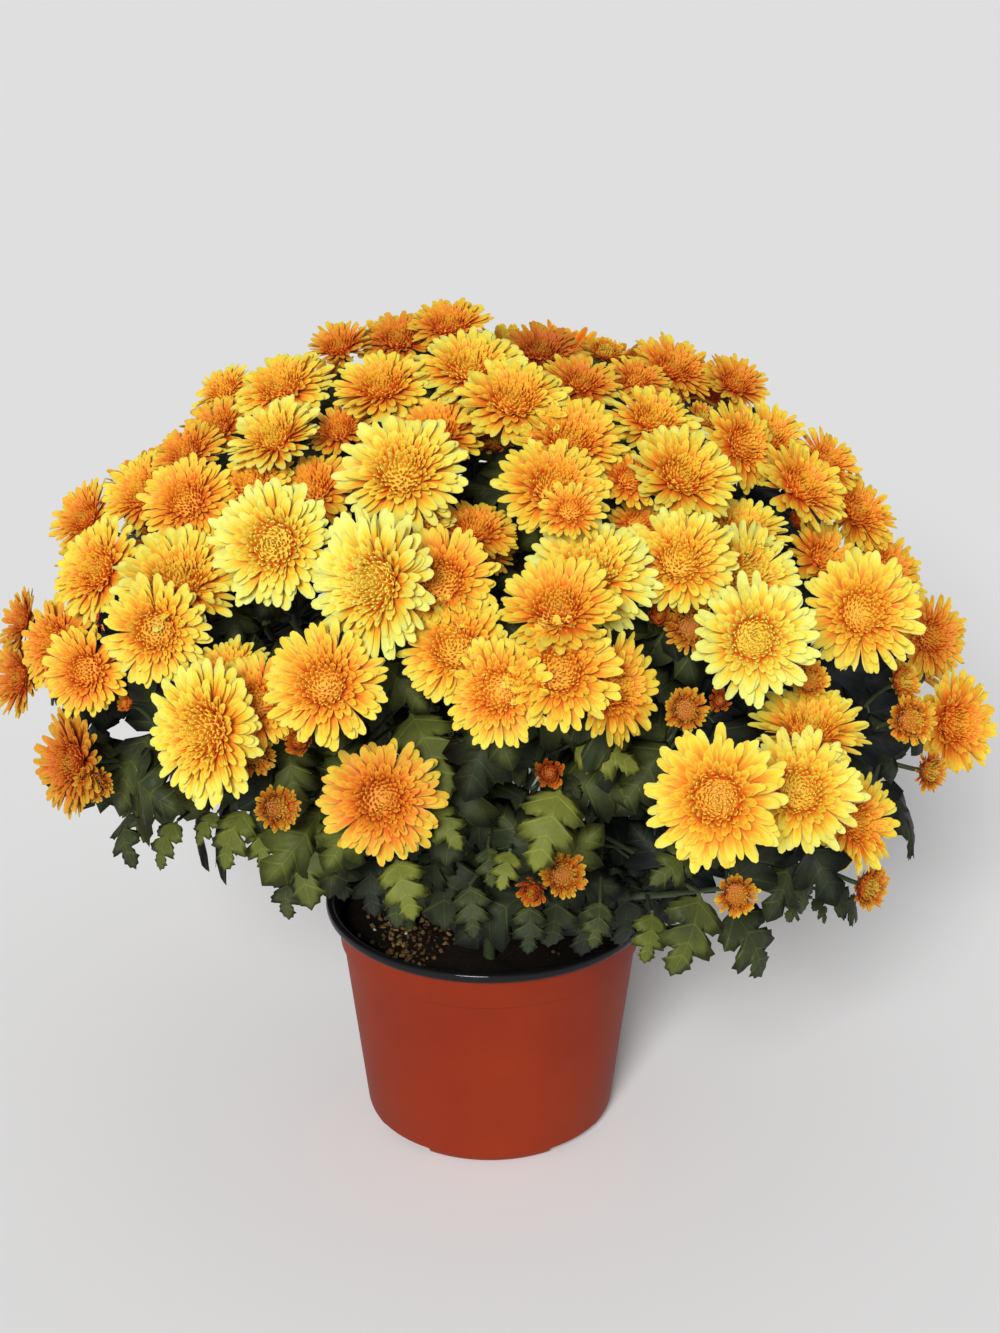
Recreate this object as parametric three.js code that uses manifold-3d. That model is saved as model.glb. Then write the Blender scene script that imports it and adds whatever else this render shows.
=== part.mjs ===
// Pot chrysanthemum: a dome of double yellow blooms on leafy stems, grown from five cuttings in one pot.
// Millimetres, +Z up. The origin is the centre of the pot's foot, on the surface that it stands on.
import * as THREE from "three";
import { mergeVertices } from "three/addons/utils/BufferGeometryUtils.js";
import Module from "manifold-3d";

const wasm = await Module();
wasm.setup();

// ---------------------------------------------------------------- driving dimensions

const GAP = 0.3; // between pieces that touch
const SLIVER = 0.1; // faces thinner than this are merged where solids are joined

const POT = {
  height: 110,
  lipRadius: 75,
  collarRadius: 71,
  collarHeight: 20,
  shoulder: 1.2, // step in the wall below the collar
  footRadius: 56,
  cornerRadius: 6,
  flare: 2, // how far the wall stands out past the foot at its corner
  wall: 1.6,
  edgeFloor: 6.4, // height of the raised ring of floor round the foot
  edgeRing: 13, // its width
  edgeSlope: 1,
  shoulderSlope: 2,
  lipDrop: 5, // height of the rolled lip
  sides: 30,
};
// The rolled lip from its underside over its top, as [in from its outermost circle, down from the rim].
const LIP = [[0, 4], [0, 1.4], [1.2, 0], [3.4, 0.6]];
// Notches in the foot let water out, each through a drain hole in its roof.
const NOTCH = { count: 4, start: 45, width: 32, height: 4.5, reach: 10 };
const DRAIN = { radius: 3, inset: 5, sides: 8 };

const SOIL = { depthBelowRim: 13, crown: 2, relief: 1.6, sides: 18, rings: [0.4, 0.8] };

// The blooms lie on a dome, a sphere whose centre is above the pot.
const DOME = { x: -3, y: 0, z: 158, radius: 213 };

const CUTTINGS = 5;
const CUTTING = {
  radius: 36,
  root: 70, // height of the stem's foot in the soil
  lean: 3,
  forkHeight: 172,
  forkRadius: 50,
  stemRadius: 3,
  taper: 0.7,
  sides: 6,
  holeClearance: 0.4,
};

// Proportions of an open bloom, as shares of its radius, measured from the tip of its calyx.
const BLOOM_RADIUS = 21;
const BLOOM = {
  petals: 7,
  perPetal: 3,
  tip: { out: 1, up: 0.56 },
  cleft: { out: 0.84, up: 0.4 },
  innerTip: { out: 0.56, up: 0.86 },
  innerCleft: { out: 0.42, up: 0.66 },
  heart: 0.76,
  core: 0.4, // the inner point that every face looks away from
};
// A half-open head is narrower and deeper, like a small cup.
const HALF_OPEN = {
  petals: 6,
  perPetal: 12,
  tip: { out: 1, up: 1.15 },
  cleft: { out: 0.86, up: 0.8 },
  innerTip: { out: 0.62, up: 1.3 },
  innerCleft: { out: 0.45, up: 1.05 },
  heart: 1,
  core: 0.6,
};
// A head's share of the room between it and a neighbour grows with its size and its lift.
const REACH = { perRadius: 0.5, perLift: 0.03, least: 0.27, most: 0.73, watch: 1.25 };
// How far a bloom turns from straight out. In front it turns towards the viewpoint, more so near the dome's
// outline, where straight out is at less than this share towards it. Elsewhere it turns upwards and by a draw.
const TURN = { toFront: 0.25, atOutline: 0.5, outline: 0.5, up: 0.12, sway: 0.5 };
// Heads in one spray, how near they are as a share of their radii, and how far above its neighbour's core a
// petal that lies across it ends.
const SPRAY = { most: 3, closeness: 1.35, above: 0.15 };

const STALK = { tip: 0.9, sunk: 0.7, back: [12, 22, 40], clear: 0.7, watch: 80, spacing: 7, sides: 3 };
const LATERAL = { inward: 42, radius: 2, foot: 1.4, lowest: 0.15 };
const AXIS_SHARE = 0.55; // stalks draw together towards the axis, at this share of their own height

const LEAF = {
  thickness: 1.4,
  widthShare: 0.39,
  arch: 0.16,
  droop: 0.35,
  lift: 0.5, // how far its face turns upwards
  petiole: 0.7,
  spots: [0.15, 0.3, 0.45, 0.6, 0.75, 0.9], // where on a lateral a leaf can grow
  forwards: 0.2,
  step: 7,
  tries: 7,
};

// ---------------------------------------------------------------- where the heads and leaves are
// Heads and leaves of the front are listed as they show from one viewpoint in front of the plant and above
// it, across and down on a frame 1000 units wide whose middle the viewpoint looks at.

const VIEWPOINT = { x: 4.7, y: -970, z: 639, pitch: 23.24, focal: 2400, middle: [500, 666.5] };

// Open blooms: across, down, breadth, lift above the dome, and, where a bloom turns its own way, how far it
// faces to the right and up of the viewpoint.
const BLOOMS = [
  [398, 331, 82, -2], [338, 341, 64, -7], [449, 317, 80, -8], [470, 357, 106, 4], [278, 378, 94, 0],
  [221, 384, 62, -8], [380, 378, 94, 2], [270, 430, 90, 4], [212, 423, 76, -5], [181, 447, 76, -2],
  [337, 424, 68, -9], [401, 464, 120, 10, -0.1, 0.5], [434, 424, 96, -8], [247, 477, 84, -4],
  [307, 484, 94, -12], [137, 487, 90, -3, -0.8, 0.7], [182, 497, 90, 3, -0.4, 0.4],
  [270, 543, 120, 8, -0.3, 0.1], [364, 583, 138, 10, -0.75, 0.05], [441, 577, 106, 4, -0.1, 0.3],
  [417, 520, 72, -7], [478, 521, 82, -14, 0.2, 1.1], [90, 566, 100, 1, -0.9, 0.4], [80, 514, 74, -8],
  [177, 571, 120, 2, -0.2, 0.8], [154, 631, 100, 6, -0.2, 0], [47, 641, 88, -1, -0.8, 0.2],
  [82, 671, 84, 4, -0.4, 0], [12, 677, 78, -3, -1.3, 0], [17, 619, 62, -8, -1.4, 0.5],
  [63, 764, 96, 0, -1.05, -0.1], [193, 734, 132, 8, -0.8, -0.1], [257, 698, 90, -3, -0.1, 0.3],
  [322, 681, 116, 6, -0.2, 0.2], [229, 664, 78, -12, -0.2, 1], [383, 801, 112, -22, 0.05, -0.05],
  [453, 643, 108, 2, -0.2, 0.3], [495, 691, 104, 6, -0.25, 0], [560, 667, 114, 10, 0, 0.3],
  [624, 687, 108, 1, 1.05, 0.1], [590, 566, 124, 0, 0, 0.5], [557, 600, 114, 9, -0.1, 0.7],
  [682, 554, 106, 3, 0.1, 0.45], [757, 639, 116, 10, 0.15, 0], [757, 571, 106, -5, 0.6, 0.4],
  [866, 611, 113, 8, 0.2, 0.1], [833, 555, 86, -7], [895, 567, 82, -7], [938, 636, 80, -3, 0.7, 0.1],
  [963, 724, 96, 0, 0.85, 0], [812, 719, 108, -5, 0.2, 1.1], [715, 801, 132, 10, -0.1, -0.1],
  [803, 788, 116, 4, 0.2, 0.2], [866, 823, 92, -5, 0.9, 0], [543, 344, 82, -5], [514, 391, 106, 6],
  [583, 376, 76, -5], [677, 361, 82, -1], [640, 373, 64, -5], [739, 378, 68, -3], [658, 413, 92, 0],
  [573, 433, 106, 2], [688, 468, 108, 6], [632, 474, 68, -3], [555, 479, 106, 0],
  [570, 506, 62, 7, 0, 0.6], [775, 431, 80, -3], [751, 441, 86, 1, 0.9, 0.4], [808, 481, 94, 4],
  [832, 456, 70, -6], [864, 506, 84, -5], [743, 520, 92, -8, 0.3, 1.3], [640, 520, 58, -16],
  [490, 549, 52, -24, 0.4, 1],
];

// Half-open and fading heads, listed the same way.
const HALF_OPEN_HEADS = [
  [92, 787, 42, -6, -0.2, -0.5], [257, 757, 46, -9, 0.3, -0.2], [298, 741, 34, -10],
  [280, 808, 48, -12, 0.3, 0], [693, 627, 56, -14, 0.1, 0], [911, 680, 46, -2], [917, 720, 54, 0, 0.5, 0],
  [937, 772, 42, 0, 0.9, -0.1], [812, 678, 44, -6, 0.3, 0.2], [687, 710, 48, -18, 0.1, 0],
  [720, 700, 26, -20, 0, 0.1], [877, 890, 50, -6, 0.9, -0.3], [738, 897, 48, -16, 0.1, -0.2],
  [566, 875, 50, -44, 0.2, 0], [531, 893, 34, -46, -0.3, -0.4], [549, 773, 34, -34, 0, 0],
  [608, 345, 42, -10], [495, 433, 46, -20], [802, 516, 34, -12], [706, 412, 42, -12], [124, 703, 22, -14],
  [660, 615, 30, -16],
];

// The far side carries on with the same spacing: a spiral on the dome, thinned to a least distance.
const FAR_SIDE = {
  candidates: 600,
  turn: 137.508,
  lowest: 0.1,
  facing: -0.23,
  apart: 40,
  smallest: 18,
  largest: 24,
  lowestLift: -7,
  highestLift: 4,
};

// Leaves of the front: across and down of the root, the same of the tip, and distance from the dome's centre.
const FRONT_LEAVES = [
  [112, 700, 104, 755, 188], [128, 752, 120, 786, 180], [130, 812, 131, 868, 178],
  [178, 820, 160, 871, 180], [246, 808, 225, 872, 182], [262, 820, 268, 873, 176],
  [300, 812, 314, 911, 182], [292, 868, 286, 920, 165], [396, 858, 414, 922, 178],
  [430, 806, 462, 850, 172], [316, 762, 306, 796, 170], [410, 712, 450, 798, 172],
  [405, 676, 392, 706, 170], [492, 740, 470, 778, 172], [470, 884, 474, 940, 150],
  [488, 846, 492, 888, 158], [545, 750, 486, 780, 178], [572, 744, 641, 772, 182],
  [560, 788, 534, 873, 182], [562, 770, 580, 800, 172], [486, 800, 470, 846, 166],
  [510, 850, 500, 892, 168], [530, 904, 528, 955, 150], [578, 864, 632, 900, 172],
  [600, 900, 592, 950, 158], [652, 912, 643, 964, 172], [700, 893, 671, 977, 186],
  [728, 905, 759, 977, 184], [790, 864, 806, 914, 182], [884, 798, 915, 856, 188],
  [832, 896, 858, 920, 182], [812, 898, 826, 924, 176], [792, 898, 786, 922, 178],
  [700, 690, 652, 682, 172], [716, 716, 758, 738, 172], [690, 852, 652, 884, 172],
  [815, 700, 862, 708, 178], [850, 700, 884, 758, 178], [872, 742, 892, 780, 182],
  [672, 730, 712, 744, 160], [290, 606, 262, 626, 176], [218, 812, 196, 846, 172],
];

// Leaves of the far side and of the inside, by rule: rings of leaves at these heights on the dome.
const RING = { scatter: 10, swing: 0.2, rootUp: 6, rootIn: 12 };
const RING_LEAVES = [
  { count: 9, latitude: 28, shell: 160, length: 42, from: -148, to: -32 },
  { count: 10, latitude: 18, shell: 150, length: 42, from: -152, to: -28 },
  { count: 9, latitude: 16, shell: 136, length: 40, from: -140, to: -30 },
  { count: 9, latitude: 14, shell: 182, length: 50, from: 14, to: 172 },
  { count: 9, latitude: 3, shell: 170, length: 48, from: 20, to: 176 },
  { count: 7, latitude: 26, shell: 172, length: 42, from: 14, to: 170 },
  { count: 5, latitude: 42, shell: 165, length: 38, from: -170, to: 150 },
];

// ---------------------------------------------------------------- small helpers

const vec = (x, y, z) => new THREE.Vector3(x, y, z);
const radians = THREE.MathUtils.degToRad;
const clamp = THREE.MathUtils.clamp;
const UP = vec(0, 0, 1);
const CENTRE = vec(DOME.x, DOME.y, DOME.z);

// A repeatable draw from 0 to 1 for item number index.
function draw(index, salt) {
  const wave = Math.sin(index * 12.9898 + salt * 78.233) * 43758.5453;
  return wave - Math.floor(wave);
}

const along = (from, direction, distance) => from.clone().addScaledVector(direction, distance);

function solid(vertices, triangles) {
  const vertProperties = new Float32Array(vertices.flatMap((v) => [v.x, v.y, v.z]));
  const triVerts = new Uint32Array(triangles.flat());
  return new wasm.Manifold(new wasm.Mesh({ numProp: 3, vertProperties, triVerts }));
}

function solidOfGeometry(geometry) {
  const bare = geometry.clone().deleteAttribute("normal").deleteAttribute("uv");
  const merged = mergeVertices(bare, 1e-4);
  const vertProperties = new Float32Array(merged.attributes.position.array);
  const triVerts = new Uint32Array(merged.index.array);
  return new wasm.Manifold(new wasm.Mesh({ numProp: 3, vertProperties, triVerts }));
}

function geometryOfSolid(manifold) {
  const mesh = manifold.getMesh();
  return new THREE.BufferGeometry()
    .setAttribute("position", new THREE.BufferAttribute(mesh.vertProperties, 3))
    .setIndex(new THREE.BufferAttribute(mesh.triVerts, 1));
}

const joined = (solids) => wasm.Manifold.union(solids);

// A join without the slivers that crossing faces leave.
const fused = (solids) => mainBody(joined(solids).simplify(SLIVER));

// The largest body of a solid, without any loose scrap.
function mainBody(manifold) {
  const bodies = manifold.decompose();
  return bodies.reduce((best, body) => (body.volume() > best.volume() ? body : best));
}

// A lathe round +Z from a profile of [radius, height] pairs.
function lathe(profile, sides) {
  const points = profile.map(([radius, height]) => new THREE.Vector2(radius, height));
  return new THREE.LatheGeometry(points, sides).rotateX(Math.PI / 2);
}

// A closed tube through points, with a radius at each.
function tube(points, radii, sides) {
  const vertices = [];
  const triangles = [];
  let side = vec(0.37, 0.61, 0.2);
  points.forEach((point, i) => {
    const before = points[Math.max(i - 1, 0)];
    const after = points[Math.min(i + 1, points.length - 1)];
    const direction = after.clone().sub(before).normalize();
    side = side.clone().addScaledVector(direction, -side.dot(direction)).normalize();
    const other = direction.clone().cross(side);
    for (let k = 0; k < sides; k++) {
      const angle = (2 * Math.PI * k) / sides;
      const out = side.clone().multiplyScalar(Math.cos(angle)).addScaledVector(other, Math.sin(angle));
      vertices.push(along(point, out, radii[i]));
    }
  });
  const last = (points.length - 1) * sides;
  for (let i = 0; i < points.length - 1; i++) {
    for (let k = 0; k < sides; k++) {
      const a = i * sides + k;
      const b = i * sides + ((k + 1) % sides);
      triangles.push([a, b, b + sides], [a, b + sides, a + sides]);
    }
  }
  for (let k = 1; k < sides - 1; k++) {
    triangles.push([0, k + 1, k], [last, last + k, last + k + 1]);
  }
  return solid(vertices, triangles);
}

// ---------------------------------------------------------------- sight lines

const pitch = radians(VIEWPOINT.pitch);
const EYE = vec(VIEWPOINT.x, VIEWPOINT.y, VIEWPOINT.z);
const SIGHT = {
  right: vec(1, 0, 0),
  up: vec(0, Math.sin(pitch), Math.cos(pitch)),
  ahead: vec(0, Math.cos(pitch), -Math.sin(pitch)),
};

function sightLine(across, down) {
  return SIGHT.ahead
    .clone()
    .addScaledVector(SIGHT.right, (across - VIEWPOINT.middle[0]) / VIEWPOINT.focal)
    .addScaledVector(SIGHT.up, (VIEWPOINT.middle[1] - down) / VIEWPOINT.focal)
    .normalize();
}

// The point where a sight line first meets a sphere round the dome's centre, or passes it closest.
function onShell(across, down, radius) {
  const line = sightLine(across, down);
  const toCentre = CENTRE.clone().sub(EYE);
  const nearest = toCentre.dot(line);
  const miss = toCentre.lengthSq() - nearest * nearest;
  const back = Math.sqrt(Math.max(radius * radius - miss, 0));
  return along(EYE, line, nearest - back);
}

// ---------------------------------------------------------------- heads

function frontHead([across, down, breadth, lift, right, up], shape) {
  const heart = onShell(across, down, DOME.radius + lift);
  const distance = heart.distanceTo(EYE);
  const toEye = EYE.clone().sub(heart).normalize();
  const outward = heart.clone().sub(CENTRE).normalize();
  const turn = TURN.toFront + TURN.atOutline * Math.max(0, 1 - outward.dot(toEye) / TURN.outline);
  const facing =
    right === undefined
      ? along(outward, toEye, turn)
      : along(along(toEye, SIGHT.right, right), SIGHT.up, up);
  const radius = (breadth * distance) / VIEWPOINT.focal / 2;
  return { heart, facing: facing.normalize(), radius, lift, shape };
}

function farHeads(front) {
  const heads = [];
  const taken = front.map((head) => head.heart);
  for (let i = 0; i < FAR_SIDE.candidates; i++) {
    const height = 1 - ((1 - FAR_SIDE.lowest) * (i + 0.5)) / FAR_SIDE.candidates;
    const angle = radians(FAR_SIDE.turn * i);
    const ring = Math.sqrt(1 - height * height);
    const outward = vec(ring * Math.cos(angle), ring * Math.sin(angle), height);
    const lift = FAR_SIDE.lowestLift + (FAR_SIDE.highestLift - FAR_SIDE.lowestLift) * draw(i, 1);
    const heart = along(CENTRE, outward, DOME.radius + lift);
    const toEye = EYE.clone().sub(heart).normalize();
    if (outward.dot(toEye) > FAR_SIDE.facing) continue;
    if (taken.some((other) => other.distanceTo(heart) < FAR_SIDE.apart)) continue;
    taken.push(heart);
    const radius = FAR_SIDE.smallest + (FAR_SIDE.largest - FAR_SIDE.smallest) * draw(i, 2);
    const sway = vec(draw(i, 3) - 0.5, draw(i, 4) - 0.5, draw(i, 5) - 0.5).multiplyScalar(TURN.sway);
    const facing = along(outward, UP, TURN.up).add(sway).normalize();
    heads.push({ heart, facing, radius, lift, shape: BLOOM });
  }
  return heads;
}

// Each head gets its calyx, where its stalk ends, and its core, which its petals stand round.
function finishHead(head, index) {
  const { heart, facing, radius, shape } = head;
  head.index = index;
  head.across = [];
  head.calyx = along(heart, facing, -shape.heart * radius);
  head.core = along(head.calyx, facing, shape.core * radius);
  return head;
}

// Neighbours share the room between them at a plane square to the line between their cores.
function roomOf(head, other) {
  const apart = head.core.distanceTo(other.core);
  const bigger = (REACH.perRadius * (head.radius - other.radius)) / apart;
  const higher = REACH.perLift * (head.lift - other.lift);
  return apart * clamp(0.5 + bigger + higher, REACH.least, REACH.most) - GAP / 2;
}

// A head as one pleated body: a heart, a row of inner petals, a row of outer petals and a calyx point.
// A petal that would cross a neighbour is drawn back along the line to the head's core. The heads of a spray
// hold together by single outer petals that lie across the next head, as far as its core.
function headSolid(head, heads, across = []) {
  const { facing, radius, shape, core, calyx } = head;
  const side = facing.clone().cross(Math.abs(facing.z) < 0.9 ? UP : vec(1, 0, 0)).normalize();
  const other = facing.clone().cross(side);
  const petals = shape.petals + Math.round((radius - BLOOM_RADIUS) / shape.perPetal);
  const steps = 2 * petals;
  const turn = draw(head.index, 6) * Math.PI;
  const at = (angle, { out, up }) =>
    along(calyx, facing, up * radius)
      .addScaledVector(side, Math.cos(angle) * out * radius)
      .addScaledVector(other, Math.sin(angle) * out * radius);
  const vertices = [along(calyx, facing, shape.heart * radius)];
  for (const [odd, even] of [[shape.innerTip, shape.innerCleft], [shape.cleft, shape.tip]]) {
    for (let k = 0; k < steps; k++) vertices.push(at(turn + (Math.PI * k) / petals, k % 2 ? odd : even));
  }
  vertices.push(calyx.clone());
  const near = heads.filter((h) => h !== head && h.core.distanceTo(core) < REACH.watch * (h.radius + radius));
  for (const vertex of vertices) {
    const reach = vertex.clone().sub(core);
    let scale = 1;
    for (const neighbour of near) {
      const depth = reach.dot(neighbour.core.clone().sub(core).normalize());
      const room = roomOf(head, neighbour);
      if (depth > room) scale = Math.min(scale, room / depth);
    }
    vertex.copy(along(core, reach, scale));
  }
  head.stalkEnd = vertices[vertices.length - 1];
  const outerTips = vertices.slice(1 + steps).filter((_, k) => k % 2 === 0 && k < steps);
  for (const mate of across) {
    const target = along(mate.core, mate.facing, SPRAY.above * mate.radius);
    const nearest = outerTips.reduce((a, b) => (a.distanceTo(target) < b.distanceTo(target) ? a : b));
    nearest.copy(target);
  }
  const inner = (k) => 1 + (k % steps);
  const outer = (k) => 1 + steps + (k % steps);
  const triangles = [];
  for (let k = 0; k < steps; k++) {
    triangles.push([0, inner(k), inner(k + 1)]);
    triangles.push([inner(k), outer(k), outer(k + 1)], [inner(k), outer(k + 1), inner(k + 1)]);
    triangles.push([vertices.length - 1, outer(k + 1), outer(k)]);
  }
  return solid(vertices, triangles);
}

// Sprays of neighbouring heads. Each starts from the head with the fewest free neighbours, and takes on the
// neighbours that have the fewest others to go to, where a petal can reach across and touches nothing else.
function gatherSprays(heads) {
  const near = (a, b) => a !== b && a.core.distanceTo(b.core) < SPRAY.closeness * (a.radius + b.radius);
  const free = new Set(heads);
  const freeNear = (head) => [...free].filter((other) => near(head, other));
  const meets = (head, body) => !head.solid.intersect(body).isEmpty();
  const crosses = (body, own) => heads.some((head) => !own.includes(head) && meets(head, body));
  const sprays = [];
  while (free.size) {
    const first = [...free].reduce((best, h) => (freeNear(h).length < freeNear(best).length ? h : best));
    const spray = [first];
    free.delete(first);
    while (spray.length < SPRAY.most) {
      const pairs = spray.flatMap((head) => freeNear(head).map((mate) => [head, mate]));
      pairs.sort(([, a], [, b]) => freeNear(a).length - freeNear(b).length);
      const found = pairs.find(([head, mate]) => {
        const body = headSolid(head, heads, [...head.across, mate]);
        const rest = [...spray, mate].filter((other) => other !== head).map((other) => other.solid);
        return joined([body, ...rest]).decompose().length === 1 && !crosses(body, [...spray, mate]);
      });
      if (!found) break;
      const [head, mate] = found;
      head.across.push(mate);
      head.solid = headSolid(head, heads, head.across);
      spray.push(mate);
      free.delete(mate);
    }
    sprays.push(spray);
  }
  return sprays;
}

// ---------------------------------------------------------------- stems

function sectorOf(point) {
  const turns = Math.atan2(point.y, point.x) / (2 * Math.PI) + 0.25 + 0.5 / CUTTINGS;
  return Math.floor((turns - Math.floor(turns)) * CUTTINGS);
}

// Each cutting stands in the soil and forks above the rim.
function cuttingAt(number) {
  const angle = (2 * Math.PI * number) / CUTTINGS - Math.PI / 2;
  const out = vec(Math.cos(angle), Math.sin(angle), 0);
  return {
    foot: along(vec(0, 0, CUTTING.root), out, CUTTING.radius),
    collar: along(vec(0, 0, POT.height), out, CUTTING.radius + CUTTING.lean),
    fork: along(vec(0, 0, CUTTING.forkHeight), out, CUTTING.forkRadius),
  };
}

function mainStem({ foot, collar, fork }, clearance = 0) {
  const radius = CUTTING.stemRadius + clearance;
  const radii = [radius, radius, radius * CUTTING.taper];
  return tube([along(foot, UP, -clearance), collar, fork], radii, CUTTING.sides);
}

const mean = (points) =>
  points.reduce((sum, point) => sum.add(point), vec(0, 0, 0)).divideScalar(points.length);

// A head's stalk runs straight to its targets, or first back from the head where another head is in the way.
function stalkTo(head, targets, radii, heads) {
  const others = heads.filter((other) => other !== head && other.core.distanceTo(head.core) < STALK.watch);
  const back = head.facing.clone().negate();
  const inward = CENTRE.clone().sub(head.calyx).normalize();
  const ways = [back, inward, back.clone().add(inward).normalize()];
  const bends = ways.flatMap((way) => STALK.back.map((distance) => [along(head.stalkEnd, way, distance)]));
  const stalks = [[], ...bends].map((bend) => {
    const way = [...bend, ...targets];
    const start = along(head.stalkEnd, way[0].clone().sub(head.stalkEnd).normalize(), STALK.clear);
    return tube([start, ...way], [STALK.tip, ...bend.map(() => STALK.tip), ...radii], STALK.sides);
  });
  return stalks.find((stalk) => others.every((other) => other.solid.intersect(stalk).isEmpty())) ?? stalks[0];
}

// Every spray has a lateral of the cutting in whose sector it lies, the lowest spray the lowest one. The
// lateral runs on as the stalk of its first head, and the other heads' stalks leave it one after the other.
function growStalks(sprays, heads) {
  const plants = [...Array(CUTTINGS).keys()].map((number) => {
    const cutting = cuttingAt(number);
    return { cutting, sprays: [], solids: [mainStem(cutting)], lines: [[cutting.collar, cutting.fork]] };
  });
  for (const spray of sprays) {
    const middle = mean(spray.map((head) => head.stalkEnd));
    const inward = vec(0, 0, AXIS_SHARE * middle.z).sub(middle).normalize();
    const hub = along(middle, inward, LATERAL.inward);
    plants[sectorOf(hub)].sprays.push({ spray, hub });
  }
  for (const { cutting, sprays: own, solids, lines } of plants) {
    own.sort((a, b) => a.hub.z - b.hub.z);
    own.forEach(({ spray, hub }, i) => {
      const share = LATERAL.lowest + ((1 - LATERAL.lowest) * (i + 1)) / own.length;
      const joint = cutting.collar.clone().lerp(cutting.fork, share);
      const inward = joint.clone().sub(hub).normalize();
      solids.push(stalkTo(spray[0], [hub, joint], [LATERAL.radius, LATERAL.foot], heads));
      lines.push([hub, joint]);
      spray.slice(1).forEach((head, k) => {
        const fork = along(hub, inward, STALK.spacing * (k + 1));
        solids.push(stalkTo(head, [fork], [STALK.sunk], heads));
      });
    });
  }
  return plants;
}

// ---------------------------------------------------------------- leaves

// A lobed blade with its petiole: two lobes a side and a middle lobe, arched along the midrib, where it is
// thickest. The corners run from the foot of the blade round one side to its tip.
const BLADE = {
  edge: [[0.13, 0.02], [1, 0.22], [0.48, 0.42], [0.96, 0.6], [0.42, 0.76]],
  ribs: [0.34, 0.66],
};

function leafSolid(joint, root, tip, facing, spare = 0) {
  const length = root.distanceTo(tip);
  const forward = tip.clone().sub(root).normalize();
  const normal = facing.clone().addScaledVector(forward, -facing.dot(forward)).normalize();
  const side = forward.clone().cross(normal);
  const half = LEAF.widthShare * length + spare;
  const arch = (out, up) => LEAF.arch * length * (Math.sin(Math.PI * up) - LEAF.droop * Math.abs(out));
  const at = (out, up, lift) =>
    along(root, forward, up * (length + spare))
      .addScaledVector(side, out * half)
      .addScaledVector(normal, lift + arch(out, up));
  const thick = LEAF.thickness / 2 + spare;
  // Both edges are vertices 0 to 9, the ribs 10 to 13, then come tip, heel and the petiole's three corners.
  const vertices = [];
  for (const mirror of [1, -1]) for (const [out, up] of BLADE.edge) vertices.push(at(mirror * out, up, 0));
  for (const lift of [thick, -thick]) for (const rib of BLADE.ribs) vertices.push(at(0, rib, lift));
  const petiole = LEAF.petiole + spare;
  const grow = root.clone().sub(joint).normalize();
  const across = side.clone().addScaledVector(grow, -side.dot(grow)).normalize();
  const above = across.clone().cross(grow);
  vertices.push(at(0, 1, 0), along(root, above, -2 * thick));
  const [tipAt, heelAt] = [14, 15];
  for (const [right, up] of [[0.87, 0.5], [-0.87, 0.5], [0, -1]]) {
    vertices.push(along(along(joint, across, right * petiole), above, up * petiole));
  }
  const triangles = [];
  for (const mirror of [0, 1]) {
    const edge = (k) => (k < 5 ? 5 * mirror + k : tipAt);
    for (const low of [0, 2]) {
      const rib = [10 + low, 11 + low];
      const fan = [[edge(0), edge(1), rib[0]], [edge(1), edge(2), rib[0]], [edge(2), rib[1], rib[0]]];
      fan.push([edge(2), edge(3), rib[1]], [edge(3), edge(4), rib[1]], [edge(4), edge(5), rib[1]]);
      if (low) fan.push([heelAt, edge(0), rib[0]]);
      for (const corners of fan) triangles.push(mirror !== (low ? 1 : 0) ? corners.reverse() : corners);
    }
  }
  triangles.push([0, 10, 5]);
  const [right, left, under] = [16, 17, 18];
  triangles.push([right, 0, 5], [right, 5, left], [left, 5, heelAt], [left, heelAt, under]);
  triangles.push([under, heelAt, 0], [under, 0, right], [right, left, under]);
  return solid(vertices, triangles);
}

// The places of the leaves, front ones by sight and the others in rings. Each gives its root and tip,
// drawn in towards the dome's centre by inset.
function leafPlaces() {
  const places = FRONT_LEAVES.map(([rootAcross, rootDown, tipAcross, tipDown, shell]) => (inset) => ({
    root: onShell(rootAcross, rootDown, shell - LEAF.step - inset),
    tip: onShell(tipAcross, tipDown, shell - inset),
  }));
  const at = (latitude, longitude, radius) =>
    vec(Math.cos(longitude), Math.sin(longitude), Math.tan(latitude))
      .multiplyScalar(radius * Math.cos(latitude))
      .add(CENTRE);
  RING_LEAVES.forEach((ring, r) => {
    for (let k = 0; k < ring.count; k++) {
      const share = (k + 0.5 * draw(k, r + 10)) / ring.count;
      const longitude = radians(ring.from + (ring.to - ring.from) * share);
      const latitude = radians(ring.latitude + RING.scatter * (draw(k, r + 20) - 0.5));
      const swing = RING.swing * (draw(k, r + 30) - 0.5);
      places.push((inset) => ({
        root: at(latitude + radians(RING.rootUp), longitude, ring.shell - RING.rootIn - inset),
        tip: at(latitude - ring.length / ring.shell, longitude + swing, ring.shell - inset),
      }));
    }
  });
  return places;
}

// Spots on the stem or a lateral from which a petiole can run forwards into a leaf, the nearest first.
function spotsFor(root, tip, lines) {
  const forward = tip.clone().sub(root).normalize();
  const spots = lines.flatMap(([from, to]) => LEAF.spots.map((share) => from.clone().lerp(to, share)));
  const distance = (spot) => spot.distanceTo(root);
  const fits = (spot) =>
    distance(spot) > LEAF.step && root.clone().sub(spot).normalize().dot(forward) > LEAF.forwards;
  return spots.filter(fits).sort((a, b) => distance(a) - distance(b)).slice(0, LEAF.tries);
}

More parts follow.
